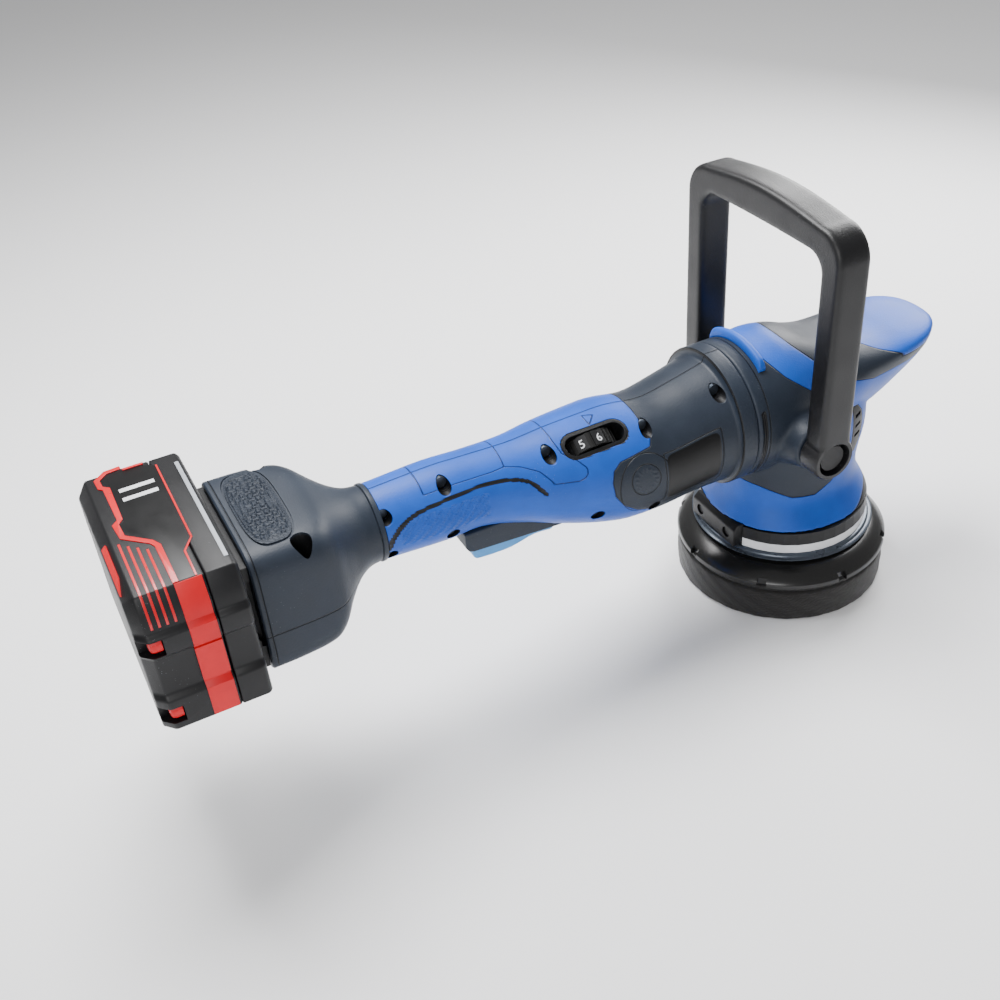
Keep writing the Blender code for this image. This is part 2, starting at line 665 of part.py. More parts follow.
def drive_line():
    """Spindle, counterweight and the bearings around them."""
    turned("drive_spindle", [(0, 112.0), (4.2, 112.0), (4.2, 79.0), (SPINDLE_RADIUS, 79.0),
                             (SPINDLE_RADIUS, 28.0), (0, 28.0)], "steel", "spindle_axis", steps=24)
    bore = SPINDLE_RADIUS + GAP
    turned("spindle_bearing_lower", ring_profile(bore, 14.0, 51.0, 60.0), "steel", "housing", steps=28)
    turned("spindle_bearing_upper", ring_profile(4.5, 9.5, 103.0, 111.5), "steel", "housing", steps=24)
    pocket = 14.3
    weight = put("counterweight", rod("counterweight", "Z", (0, 0, 0), 24.5, 49.0, 13.5, sides=24),
                 "dark_steel", "spindle_axis")
    boolean(weight, cutter("weight_cup", rod("weight_cup", "Z", ORBIT, 9.5, 26.5, 18.5, sides=28)),
        "UNION")
    sector = [(34.0 * math.cos(a), 34.0 * math.sin(a))
              for a in [math.radians(ORBIT_ANGLE + 100.0 + 16.0 * i) for i in range(11)]]
    boolean(weight, cutter("weight_sector", prism("weight_sector", sector + [tuple(ORBIT[:2])], "Z", 12.0,
        24.0)),
            "UNION")
    boolean(weight, cutter("weight_pocket", rod("weight_pocket", "Z", ORBIT, 9.0, 23.5, pocket,
        sides=28)))
    boolean(weight, cutter("weight_bore", rod("weight_bore", "Z", (0, 0, 0), 27.7, 50.0, bore, sides=24)))
    turned("pad_bearing", ring_profile(6.7, pocket - GAP, 10.0, 22.0), "steel", "spindle_axis", ORBIT,
        steps=28)


def crown_ring(share, rise=None):
    """One ring of the crown gear's toothed face, or a plain ring at a height."""
    points = []
    pitch = math.tau / CROWN_TEETH
    steps = ((-0.26, -TOOTH_DEDENDUM), (-0.12, TOOTH_ADDENDUM), (0.12, TOOTH_ADDENDUM),
        (0.26, -TOOTH_DEDENDUM))
    for tooth in range(CROWN_TEETH):
        for offset, lift in steps:
            angle = math.pi + pitch * (tooth + 0.5 + offset)
            height = MOTOR_AXIS + share * (lift - PINION_RADIUS) if rise is None else rise
            radius = CROWN_RADIUS * share
            points.append((radius * math.cos(angle), radius * math.sin(angle), height))
    return points


def bevel_gears():
    """Crown gear on the spindle and the pinion that drives it, both cut towards one apex."""
    base = MOTOR_AXIS - 14.5
    bore = (SPINDLE_RADIUS + GAP) / CROWN_RADIUS
    crown = [crown_ring(bore, base), crown_ring(bore, MOTOR_AXIS - 8.5),
        crown_ring(TOOTH_SHARE, MOTOR_AXIS - 8.5),
             crown_ring(TOOTH_SHARE), crown_ring(1.0), crown_ring(1.0, base)]
    put("crown_gear", hoop("crown_gear", crown), "steel", "spindle_axis")
    bore = 3.3 / PINION_RADIUS

    def pinion_ring(share, x, round_share=None):
        points = []
        pitch = math.tau / PINION_TEETH
        steps = ((-0.26, -TOOTH_DEDENDUM), (-0.12, TOOTH_ADDENDUM), (0.12, TOOTH_ADDENDUM),
                 (0.26, -TOOTH_DEDENDUM))
        for tooth in range(PINION_TEETH):
            for offset, lift in steps:
                angle = -math.pi / 2 + pitch * (tooth + offset)
                radius = share * (PINION_RADIUS + lift)
                if round_share is not None:
                    radius = round_share * PINION_RADIUS
                points.append((x, radius * math.cos(angle), MOTOR_AXIS + radius * math.sin(angle)))
        return points
    large = -CROWN_RADIUS
    small = -CROWN_RADIUS * TOOTH_SHARE
    pinion = [pinion_ring(1.0, large, bore), pinion_ring(1.0, large), pinion_ring(TOOTH_SHARE, small),
              pinion_ring(1.0, small, bore)]
    put("bevel_pinion", hoop("bevel_pinion", pinion), "steel", "rotor_axis")


def motor():
    """Stator, rotor, fan and the rotor's bearings."""
    centre = (0, 0, MOTOR_AXIS)
    turned("stator", ring_profile(ROTOR_RADIUS + 0.8, STATOR_RADIUS, STATOR_REAR_X, STATOR_FRONT_X),
           "copper", "housing", centre, "X", steps=28)
    rear = STATOR_REAR_X - 8.0
    turned("rotor", [(0, -11.5), (3.0, -11.5), (3.0, -24.0), (SHAFT_RADIUS, -24.0),
                     (SHAFT_RADIUS, STATOR_FRONT_X), (ROTOR_RADIUS, STATOR_FRONT_X),
                     (ROTOR_RADIUS, STATOR_REAR_X), (SHAFT_RADIUS, STATOR_REAR_X), (SHAFT_RADIUS,
                         rear), (0, rear)],
           "steel", "rotor_axis", (0, 0, 0), "X", steps=28)
    bore = SHAFT_RADIUS + GAP
    turned("motor_fan", [(bore, -69.0), (8.0, -69.0), (22.5, -71.0), (22.5, -75.5), (bore, -75.5)],
           "black", "rotor_axis", (0, 0, 0), "X", steps=28)
    turned("motor_bearing_front", ring_profile(bore, 11.0, -62.0, -55.0), "steel", "housing", centre, "X",
        steps=24)
    turned("motor_bearing_rear", ring_profile(bore, 9.5, rear + 0.5, rear + 6.0), "steel", "housing",
        centre, "X",
           steps=24)


# ---------------------------------------------------------------- motor housing and handle

def body_table():
    """x, height of the centre and radius of the motor housing and handle."""
    return [(COLLAR_X - PLUG_LENGTH - 20, 98.4, 20.0), (COLLAR_X, 98.0, 20.0),
            (HANDLE_X - 0.55 * HANDLE_LENGTH, 97.7, 21.5), (HANDLE_X - 0.3 * HANDLE_LENGTH, 97.4, 20.9),
            (HANDLE_X, 93.4, 24.0), (HANDLE_X + 20.0, 90.0, 28.8), (HANDLE_X + 40.0, 86.8, 32.6),
            (HANDLE_X + 57.0, 84.8, 34.6), (HEAD_SEAM_X - 50.5, 82.8, 33.6), (HEAD_SEAM_X - 28.5, 85.8,
                34.5),
            (HEAD_SEAM_X - FLANGE_LENGTH - 1.2, 88.2, 36.3)]


def body_at(x):
    """Centre height and outer radius at x, with the flange at the head."""
    if x > HEAD_SEAM_X - FLANGE_LENGTH:
        return 89.3, BARREL_RADIUS
    return tuple(table_at(body_table(), x))


# the sections that the shell, its skin and the space inside share
HANDLE_STATIONS = steps_between(COLLAR_X, SKIN_FRONT_X, 20.0)


def half_ring(x, side, inset, wall):
    """The closed section of a half shell at x: its outer arc, then its inner arc back."""
    centre, radius = body_at(x)
    count = 10
    ring = []
    for reach, order in ((radius - inset, range(count)), (radius - inset - wall, reversed(range(count)))):
        for i in order:
            angle = math.pi * i / (count - 1)
            ring.append((x, side * max(reach * math.sin(angle), HALF), centre + reach * math.cos(angle)))
    return ring


def motor_housing():
    """The two clamshell halves, from the head's joint face to the plug in the rear housing."""
    buried = SKIN + GAP
    rear = COLLAR_X - PLUG_LENGTH
    halves = []
    for side, word in ((-1, "right"), (1, "left")):
        rings = [half_ring(x, side, buried, SHELL_WALL) for x in [rear] + HANDLE_STATIONS]
        flange_x = HEAD_SEAM_X - FLANGE_LENGTH
        rings += [half_ring(x, side, 0.0, SHELL_WALL + buried) for x in (SKIN_FRONT_X + GAP,
            SKIN_FRONT_X + 4.0)]
        rings += [half_ring(x, side, 0.0, SHELL_WALL) for x in steps_between(SKIN_FRONT_X + 14.0,
            flange_x - 1.2, 15.0)]
        rings += [half_ring(x, side, 0.0, SHELL_WALL) for x in (flange_x + 0.01, HEAD_SEAM_X)]
        halves.append(put(f"motor_housing_{word}", loft(f"motor_housing_{word}", rings), "nylon"))
    return halves


def handle_skin():
    """Soft grip overmould on each half, between the collar and the motor."""
    skins = []
    for side, word in ((-1, "right"), (1, "left")):
        rings = [half_ring(x, side, 0.0, SKIN)
                 for x in [COLLAR_X + COLLAR_WIDTH + GAP] + HANDLE_STATIONS[1:]]
        skins.append(put(f"grip_overmould_{word}", loft(f"grip_overmould_{word}", rings), "blue"))
    return skins


def collar():
    """Ring that covers the joint of handle and rear housing."""
    centre, radius = body_at(COLLAR_X)
    inner = radius - SKIN + 0.3
    return turned("collar_ring", [(inner, COLLAR_X + COLLAR_WIDTH),
        (radius + 0.2, COLLAR_X + COLLAR_WIDTH),
                                  (radius + 0.8, COLLAR_X + COLLAR_WIDTH - 1.5), (radius + 0.8,
                                      COLLAR_X + GAP),
                                  (inner, COLLAR_X + GAP)], "nylon", "housing", (0, 0, centre), "X", steps=28)


# x, angle from the top towards -Y
HOUSING_SCREWS = [(-224.0, 40.0), (-224.0, 118.0), (-166.4, 38.0), (-145.5, 117.0), (-111.0, 37.0),
                  (-111.0, 121.0), (-66.0, 36.0)]
# the same for the deep pockets beside the collar
NECK_POCKETS = [(-257.5, 54.0), (-257.5, 122.0)]


def screw_site(x, angle):
    """Where a screw's axis, along Y, meets the outer surface."""
    centre, radius = body_at(x)
    return radius * -math.sin(math.radians(angle)), centre + radius * math.cos(math.radians(angle))


def body_core():
    """The body's inside up to the middle of its wall, which keeps the bosses under the surface."""
    rear = COLLAR_X - PLUG_LENGTH
    sites = [(x, SKIN + GAP + SHELL_WALL / 2) for x in [rear] + HANDLE_STATIONS]
    sites += [(x, SHELL_WALL / 2) for x in steps_between(SKIN_FRONT_X + 2.0, HEAD_SEAM_X - 1.0, 15.0)]
    rings = []
    for x, inset_by in sites:
        centre, radius = body_at(x)
        rings.append([(x, (radius - inset_by) * u, centre + (radius - inset_by) * v)
                      for u, v in superellipse(18)])
    return cutter("body_core", loft("body_core", rings))


def boss(name, x, height, low, high, radius, core):
    """A screw boss along Y, cut off where it would pass through the wall."""
    post = cutter(name, rod(name, "Y", (x, 0, height), low, high, radius, sides=10))
    boolean(post, core, "INTERSECT")
    return post


def housing_screws(right, left, skin_right):
    """Screws that hold the clamshell halves together, each in its own boss."""
    head_radius = 3.2
    core = body_core()
    for i, (x, angle) in enumerate(HOUSING_SCREWS, 1):
        y, height = screw_site(x, angle)
        seat = y + 4.5
        boolean(right, boss(f"boss_{i}", x, height, y, -HALF - 0.1, head_radius + 1.9, core), "UNION")
        pocket = cutter(f"screw_pocket_{i}", rod(f"screw_pocket_{i}", "Y", (x, 0, height), y - 12.0,
            seat + 2.8,
                                                 head_radius + 0.5, sides=12))
        boolean(right, pocket)
        boolean(skin_right, pocket)
        bore = cutter(f"screw_bore_{i}", rod(f"screw_bore_{i}", "Y", (x, 0, height), seat, 30.0, 1.8,
            sides=8))
        boolean(right, bore)
        boolean(left, boss(f"left_boss_{i}", x, height, HALF + 0.1, abs(y), head_radius + 1.0, core),
            "UNION")
        left_bore = rod(f"left_bore_{i}", "Y", (x, 0, height), -1.0, min(abs(y) - 4.0, 8.0), 1.8, sides=8)
        boolean(left, cutter(f"left_bore_{i}", left_bore))
        tip = abs(y) + 5.0
        turned(f"housing_screw_{i}", [(0, tip), (1.4, tip), (1.4, 7.0), (head_radius, 7.0),
                                      (head_radius, 4.5), (0, 4.5)],
               "dark_steel", "housing", (x, y, height), "Y", steps=12)
    for i, (x, angle) in enumerate(NECK_POCKETS, 1):
        y, height = screw_site(x, angle)
        pocket = cutter(f"neck_pocket_{i}", rod(f"neck_pocket_{i}", "Y", (x, 0, height), y - 12.0,
            y + 7.0,
                                                head_radius + 0.4, sides=12))
        boolean(right, pocket)
        boolean(skin_right, pocket)


def speed_dial(right, skin_right):
    """Thumbwheel with ribs around its rim, on an axle across a radius of the housing."""
    centre, radius = body_at(DIAL_X)
    tilt = math.radians(DIAL_ANGLE)
    outward = Vector((0.0, -math.sin(tilt), math.cos(tilt)))
    middle = Vector((DIAL_X, 0.0, centre)) + outward * (radius + DIAL_PROTRUSION - DIAL_RADIUS)
    frames["dial_axis"][:] = middle
    bpy.data.objects["dial_axis"].location = middle * MM
    rim = []
    for i in range(DIAL_RIBS):
        for offset, reach in ((-0.3, DIAL_RADIUS), (0.3, DIAL_RADIUS), (0.4, DIAL_RADIUS - 0.8),
                              (0.6, DIAL_RADIUS - 0.8)):
            angle = math.tau * (i + offset) / DIAL_RIBS
            rim.append((reach * math.cos(angle), reach * math.sin(angle)))
    wheel = put("speed_dial", prism("speed_dial", rim, "Z", -DIAL_WIDTH / 2, DIAL_WIDTH / 2),
        "gloss_black",
                "dial_axis", local=True)
    wheel.rotation_euler = (math.radians(DIAL_ANGLE - 90.0), 0.0, 0.0)
    reach = DIAL_WIDTH / 2 + 2.5
    trunnion = cutter("dial_trunnion", rod("dial_trunnion", "Z", (0, 0, 0), -reach, reach, 1.6, sides=16),
        "dial_axis")
    trunnion.rotation_euler = wheel.rotation_euler
    boolean(wheel, trunnion, "UNION")
    length, width = DIAL_WINDOW
    window = []
    for side in (-1, 1):
        for i in range(7):
            angle = math.radians(-90 + 30 * i) if side > 0 else math.radians(90 + 30 * i)
            window.append((side * (length - width) / 2 + width / 2 * math.cos(angle),
                width / 2 * math.sin(angle)))
    opening = cutter("dial_window", prism("dial_window", window, "Z", 0.0, DIAL_RADIUS + 12.0))
    opening.location = middle * MM
    opening.rotation_euler = (tilt, 0.0, 0.0)
    boolean(right, opening)
    boolean(skin_right, opening)


def trigger(pieces):
    """Lever trigger, the dark surround that it moves in, the switch and the control module."""
    rear = TRIGGER_REAR_X
    front = TRIGGER_FRONT_X
    side = TRIGGER_HALF_WIDTH
    lever = [(rear, 74.5), (rear, 58.2), (rear + 10, 56.8), (rear + 22, 56.6), (rear + 32, 59.0),
             (rear + 40, 59.5), (front, 58.5), (front, 71.0), (front - 6, 74.5)]
    put("trigger", prism("trigger", lever, "Y", -side, side), "pale_blue", "trigger_pivot")
    rim = 4.0
    low = rear - 5.5
    high = front + 5.0
    frame = [(low, 79.5), (low, 70.5), (low + 4, 67.0), (high - 2.5, 63.5), (high, 65.0), (high, 79.5)]
    surround = put("trigger_surround", prism("trigger_surround", frame, "Y", -side - rim, side + rim),
        "nylon")
    slot = box("trigger_slot", (rear - 1.0, -side - 0.6, 50.0), (front + 1.2, side + 0.6, 90.0))
    boolean(surround, cutter("trigger_slot", slot))
    room = box("surround_room", (low - GAP, -side - rim - GAP, 40.0),
        (high + GAP, side + rim + GAP, 79.5 + GAP))
    chamber = cutter("surround_room", room)
    for piece in pieces:
        boolean(piece, chamber)
    put("switch_body", box("switch_body", (rear + 2, -8.0, 84.5), (front - 6, 8.0, 100.0)), "black")
    put("control_module", box("control_module", (rear - 32, -9.0, 94.0), (rear - 6, 9.0, 106.5)), "board")


# ---------------------------------------------------------------- bail handle

def bail():
    """Bail handle over the head, with a round recess over each pivot bolt."""
    inner = BAIL_HALF_SPAN - BAIL_ARM
    base = BAIL_PIVOT_HEIGHT
    top = base + BAIL_RISE

    def arch(half, height, corner, crown):
        """Points from the +Y foot over the arch to the -Y foot."""
        bend = [(half - corner + corner * math.cos(a), height - corner + corner * math.sin(a))
                for a in [math.radians(18 * i) for i in range(6)]]
        bar = [((half - corner) * (1 - i / 3),
            height + crown * math.sin(math.pi / 2 * i / 3)) for i in range(1, 4)]
        side_points = [(half, base)] + bend + bar
        return side_points + [(-y, z) for y, z in side_points[-2::-1]]
    outer = arch(BAIL_HALF_SPAN, top, BAIL_CORNER, BAIL_CROWN)
    under = arch(inner, top + BAIL_CROWN - BAIL_BAR, BAIL_CORNER - 6.0, 0.4)
    deep = BAIL_DEPTH / 2
    rings = []
    for (y1, z1), (y0, z0) in zip(outer, under):
        reach = math.hypot(y1 - y0, z1 - z0)
        shares = (BAIL_CHAMFER / reach, 1 - BAIL_CHAMFER / reach)
        corners = [(-deep, shares[0]), (-deep, shares[1]), (BAIL_CHAMFER - deep, 1),
            (deep - BAIL_CHAMFER, 1),
                   (deep, shares[1]), (deep, shares[0]), (deep - BAIL_CHAMFER, 0), (BAIL_CHAMFER - deep,
                       0)]
        rings.append([(BAIL_X + x, y0 + (y1 - y0) * t, z0 + (z1 - z0) * t) for x, t in corners])
    handle = put("bail_handle", loft("bail_handle", rings), "black", "bail_pivot")
    for side, word in ((-1, "right"), (1, "left")):
        low, high = sorted((side * (inner + SEAM), side * (BAIL_HALF_SPAN - SEAM)))
        end = rod(f"bail_end_{word}", "Y", (BAIL_X, 0, base), low, high, BAIL_END_RADIUS, sides=24)
        boolean(handle, cutter(f"bail_end_{word}", end, "housing"), "UNION")
        seat = side * (BAIL_HALF_SPAN - BAIL_RECESS_DEPTH)
        recess = rod(f"bail_recess_{word}", "Y", (BAIL_X, 0, base),
            *sorted((seat, side * (BAIL_HALF_SPAN + 5))),
                     BAIL_RECESS_RADIUS, sides=28)
        boolean(handle, cutter(f"bail_recess_{word}", recess))
        bore = rod(f"bail_bore_{word}", "Y", (BAIL_X, 0, base),
            *sorted((side * (inner - 2), side * BAIL_HALF_SPAN)),
                   5.3, sides=20)
        boolean(handle, cutter(f"bail_bore_{word}", bore))
        grip = abs(seat) + GAP
        profile = [(0, grip + 4.5), (7.5, grip + 4.5), (7.5, grip), (5.0, grip), (5.0, 38.0), (0, 38.0)]
        bolt = turned(f"bail_bolt_{word}", profile, "dark_steel", "housing", (BAIL_X, 0, base), "Y",
            steps=20)
        if side < 0:
            bolt.rotation_euler = (math.radians(90), 0.0, 0.0)


# ---------------------------------------------------------------- rear housing

def rear_rings(grow, reach_front, reach_rear):
    """Sections of the rear housing: a round neck that opens into a box."""
    centre, radius = body_at(COLLAR_X)
    middle = (REAR_TOP + REAR_BOTTOM) / 2
    tall = (REAR_TOP - REAR_BOTTOM) / 2
    rows = [(COLLAR_X, centre, radius, radius, 2.0), (COLLAR_X - 9.0, centre, radius + 1.8, radius + 1.4,
        2.0),
            (COLLAR_X - 23.0, centre, 33.0, 28.5, 3.2), (COLLAR_X - 33.0, middle, REAR_HALF_WIDTH - 1,
                tall - 0.6, 6.0),
            (REAR_X, middle, REAR_HALF_WIDTH, tall, 7.0)]
    rings = []
    for k, (x, height, wide, high, exponent) in enumerate(rows):
        if k == 0:
            x += reach_front
        if k == len(rows) - 1:
            x -= reach_rear
        rings.append([(x, (wide + grow) * u, height + (high + grow) * v) for u,
            v in superellipse(24, exponent)])
    return rings


def rear_housing():
    """Upper and lower shell behind the handle, and the textured pad on top."""
    shells = []
    for word, low, high in (("top", REAR_SPLIT + SEAM, 150.0), ("bottom", 40.0, REAR_SPLIT - SEAM)):
        shell = put(f"rear_housing_{word}", loft(f"rear_housing_{word}", rear_rings(0.0, 0.0, 0.0)),
            "nylon")
        keep = box(f"rear_keep_{word}", (REAR_X - 5, -60, low), (COLLAR_X + 5, 60, high))
        boolean(shell, cutter(f"rear_keep_{word}", keep), "INTERSECT")
        shells.append(shell)
    hollow = cutter("rear_hollow", loft("rear_hollow", rear_rings(-REAR_WALL, -3.0, 2.0)))
    centre, radius = body_at(COLLAR_X)
    socket = cutter("rear_socket", rod("rear_socket", "X", (0, 0, centre), COLLAR_X - 12, COLLAR_X + 5,
                                       radius - SKIN + 0.3, sides=24))
    for shell in shells:
        boolean(shell, hollow)
        boolean(shell, socket)
    middle = REAR_X + 17.0
    oval = [(middle + 11.0 * u, 31.0 * v) for u, v in superellipse(20, 3.2)]
    wide = [(middle + (11.0 + GAP) * u, (31.0 + GAP) * v) for u, v in superellipse(20, 3.2)]
    boolean(shells[0], cutter("pad_room", prism("pad_room", wide, "Z", REAR_TOP - 1.4 - GAP,
        REAR_TOP + 5)))
    put("thumb_pad", prism("thumb_pad", oval, "Z", REAR_TOP - 1.4, REAR_TOP + 0.4), "black")


def rear_pockets():
    """Deep screw pockets in the rear housing's upper corners."""
    top = bpy.data.objects["rear_housing_top"]
    x = REAR_X + 27.0
    for side, word in ((-1, "right"), (1, "left")):
        y = side * (REAR_HALF_WIDTH - 6.0)
        tower = rod(f"rear_tower_{word}", "Z", (x, y, 0), REAR_SPLIT + 0.4, 124.0, 5.4, sides=16)
        column = cutter(f"rear_tower_{word}", tower)
        boolean(column, bpy.data.objects["rear_outer"], "INTERSECT")
        boolean(top, column, "UNION")
        pocket = rod(f"rear_pocket_{word}", "Z", (x, y, 0), 112.0, 150.0, 4.6, sides=20)
        boolean(top, cutter(f"rear_pocket_{word}", pocket))
        bore = rod(f"rear_bore_{word}", "Z", (x, y, 0), 80.0, 120.0, 2.1, sides=12)
        boolean(top, cutter(f"rear_bore_{word}", bore))


# ---------------------------------------------------------------- battery

def shoe():
    """Plate with the rails that the battery hangs on, and the terminal block behind it."""
    half = REAR_HALF_WIDTH - REAR_WALL - 4.2
    low = REAR_BOTTOM + REAR_WALL + 4.2
    high = REAR_TOP - REAR_WALL - 4.2
    inside = REAR_X + SHOE_THICKNESS - 4.2
    plate = put("battery_shoe", box("battery_shoe", (SHOE_X, -half, low), (inside, half, high)), "black")
    rear_lip = box("shoe_lip", (SHOE_X, -half - 2, low - 2), (REAR_X - GAP, half + 2, high + 2))
    boolean(plate, cutter("shoe_lip", rear_lip), "UNION")
    mouth = box("rail_mouth", (SHOE_X - 1, -half - 5, 82.0), (SHOE_X + 4.6, half + 5, 114.0))
    boolean(plate, cutter("rail_mouth", mouth))
    undercut = box("rail_undercut", (SHOE_X + 2.2, -half - 5, 78.0), (SHOE_X + 4.6, half + 5, 118.0))
    boolean(plate, cutter("rail_undercut", undercut))
    terminals = box("terminal_block", (inside + GAP, -14.0, 90.0), (inside + 9.0, 14.0, 106.0))
    put("terminal_block", terminals, "brass")


def pack_outline():
    """The battery's outline across the tool, with its chamfered and stepped ends."""
    half = BATTERY_LENGTH / 2
    end = [(half - 7.5, BATTERY_BOTTOM), (half, BATTERY_BOTTOM + 6.0), (half, 86.0), (half - STEP, 88.5),
           (half - STEP, 110.0), (half, 112.0), (half, 122.0), (half - STEP, 124.0),
           (half - STEP, BATTERY_TOP - 11.5), (half - 8.0, BATTERY_TOP)]
    return end + [(-y, z) for y, z in reversed(end)]


def pack_hollow():
    """The outline of the space for the cells."""
    half = BATTERY_LENGTH / 2 - STEP - CASE_WALL
    low = BATTERY_BOTTOM + CASE_WALL
    high = BATTERY_TOP - CASE_WALL
    return [(half - 6.0, low), (half, low + 6.0), (half, high - 9.0), (half - 4.0, high),
            (-half + 4.0, high), (-half, high - 9.0), (-half, low + 6.0), (-half + 6.0, low)]


def battery():
    """Battery pack: two shells around the cells, label, red band and release button."""
    outline = pack_outline()
    front = put("battery_case_front", prism("battery_case_front", outline, "X", PACK_SPLIT_X + SEAM,
        PACK_X),
                "black", "battery_slide")
    rear = put("battery_case_rear", prism("battery_case_rear", outline, "X", PACK_REAR_X,
        PACK_SPLIT_X - SEAM),
               "black", "battery_slide")
    bevel = rear.modifiers.new("chamfer", "BEVEL")
    bevel.width = 4.5 * MM
    bevel.segments = 1
    bevel.limit_method = "VGROUP"
    edge = rear.vertex_groups.new(name="back")
    edge.add([v.index for v in rear.data.vertices if v.co.x < (PACK_REAR_X + 1) * MM], 1.0, "REPLACE")
    bevel.vertex_group = "back"
    hollow = pack_hollow()
    boolean(front, cutter("pack_hollow_front", prism("pack_hollow_front", hollow, "X", PACK_SPLIT_X - 2,
                                                     PACK_X - CASE_WALL)))
    boolean(rear, cutter("pack_hollow_rear", prism("pack_hollow_rear", hollow, "X",
        PACK_REAR_X + CASE_WALL,
                                                   PACK_SPLIT_X + 2)))
    half = REAR_HALF_WIDTH - REAR_WALL - 5.2
    neck = box("rail_neck", (PACK_X - 1.0, -half, 83.0), (SHOE_X + 3.6, half, 113.0))
    boolean(front, cutter("rail_neck", neck), "UNION")
    head_of_rail = box("rail_head", (SHOE_X + 2.6, -half, 79.0), (SHOE_X + 4.2, half, 117.0))
    boolean(front, cutter("rail_head", head_of_rail), "UNION")
    cells()
    battery_band(rear)
    battery_button(front)


def cells():
    """Two rows of five cells in one wrapped block."""
    middle_z = (BATTERY_TOP + BATTERY_BOTTOM) / 2
    pitch = 2 * CELL_RADIUS + 0.2
    middle_x = (PACK_X + PACK_REAR_X) / 2 - 1.0
    outline = []
    for row in (-1, 1):
        for k in range(5):
            for i in range(5):
                angle = (math.pi if row < 0 else 0.0) + math.radians(-60.0 + 30.0 * i)
                outline.append((middle_x + row * pitch / 2 + CELL_RADIUS * math.cos(angle),
                                row * (k - 2) * pitch + CELL_RADIUS * math.sin(angle)))
    put("cell_pack", prism("cell_pack", outline, "Z", middle_z - CELL_HEIGHT / 2,
        middle_z + CELL_HEIGHT / 2),
        "dark_steel", "battery_slide")


def battery_band(rear):
    """Red band down the near end."""
    half = BATTERY_LENGTH / 2
    band_low = PACK_SPLIT_X - 13.5
    band = box("battery_band", (band_low, -half + STEP - 1.2, 90.0),
        (PACK_SPLIT_X - 1.0, -half + STEP + 0.9, 109.0))
    put("battery_band", band, "red", "battery_slide")
    room = box("band_room", (band_low - GAP, -half - 2, 90.0 - GAP),
               (PACK_SPLIT_X - 1.0 + GAP, -half + STEP + 0.9 + GAP, 109.0 + GAP))
    boolean(rear, cutter("band_room", room))


def battery_button(front):
    """Release button on the battery's far end, beside the rails."""
    half = BATTERY_LENGTH / 2
    low = (PACK_X - 6.0, half - 13.0, 89.0)
    high = (PACK_X + 2.0, half - 4.0, 107.0)
    put("battery_button", box("battery_button", low, high), "red", "battery_button_slide")
    room = box("button_room", (PACK_X - 11.0, low[1] - 0.5, low[2] - 0.5),
        (PACK_X + 4, high[1] + 0.5, high[2] + 0.5))
    boolean(front, cutter("button_room", room))


# ---------------------------------------------------------------- assembly

def build():
    """Build every piece in order."""
    clear_scene()
    add_frame("housing", (0, 0, HOUSING_Z))
    add_frame("pad_axis", (ORBIT.x, ORBIT.y, 0.0))
    add_frame("spindle_axis", (0, 0, 0), "housing")
    add_frame("rotor_axis", (0, 0, MOTOR_AXIS), "housing")
    add_frame("bail_pivot", (BAIL_X, 0, BAIL_PIVOT_HEIGHT), "housing")
    add_frame("dial_axis", (DIAL_X, 0, 0), "housing")
    add_frame("trigger_pivot", (TRIGGER_PIVOT[0], 0, TRIGGER_PIVOT[1]), "housing")
    add_frame("battery_slide", (PACK_X, 0, (BATTERY_TOP + BATTERY_BOTTOM) / 2), "housing")
    add_frame("battery_button_slide", (PACK_X, BATTERY_LENGTH / 2 - 8.5, 98.0), "housing")
    pad_stack()
    seal_and_shroud()
    room = shroud_clamp()
    casing, front, cover = head()
    boolean(front, room)
    boolean(casing, room)
    palm_disc(cover)
    side_vents(front)
    finger_stop()
    gear_housing()
    drive_line()
    bevel_gears()
    motor()
    left_right = motor_housing()
    skins = handle_skin()
    collar()
    trigger(left_right + skins)
    housing_screws(left_right[0], left_right[1], skins[0])
    speed_dial(left_right[0], skins[0])
    bail()
    rear_housing()
    cutter("rear_outer", loft("rear_outer", rear_rings(-1.2, 0.0, 0.0)))
    rear_pockets()
    shoe()
    battery()


build()
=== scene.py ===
"""Looks of the cordless dual action polisher: smooth shells, finishes, light and camera.

Every size is in millimetres in the row frame: +Z up from the pad's working face, +X forward to the
palm grip and -Y on the side of the speed dial. Meshes are made in metres.
"""
import logging
import math
from dataclasses import dataclass, field
from enum import Enum
from typing import Callable, Iterable, Sequence

import bmesh
import bpy
import numpy as np
from mathutils import Matrix, Vector


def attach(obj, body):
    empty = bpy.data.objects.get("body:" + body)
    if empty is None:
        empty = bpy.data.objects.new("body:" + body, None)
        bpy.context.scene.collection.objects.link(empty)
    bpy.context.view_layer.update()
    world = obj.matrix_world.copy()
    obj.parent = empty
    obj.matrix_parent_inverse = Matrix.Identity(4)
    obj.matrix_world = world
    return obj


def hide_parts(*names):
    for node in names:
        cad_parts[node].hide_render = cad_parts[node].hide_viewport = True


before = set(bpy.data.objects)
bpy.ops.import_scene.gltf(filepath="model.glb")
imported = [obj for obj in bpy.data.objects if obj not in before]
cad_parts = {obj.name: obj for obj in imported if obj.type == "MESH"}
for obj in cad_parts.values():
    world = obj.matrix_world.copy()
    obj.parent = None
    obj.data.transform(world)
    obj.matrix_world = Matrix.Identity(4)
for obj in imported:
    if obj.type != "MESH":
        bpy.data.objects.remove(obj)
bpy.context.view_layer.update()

MM = 0.001
LIFT = 34.0            # height of the head's datum above the pad's working face
LOG = logging.getLogger("polisher")
Array = np.ndarray
Faces = list[tuple[int, ...]]


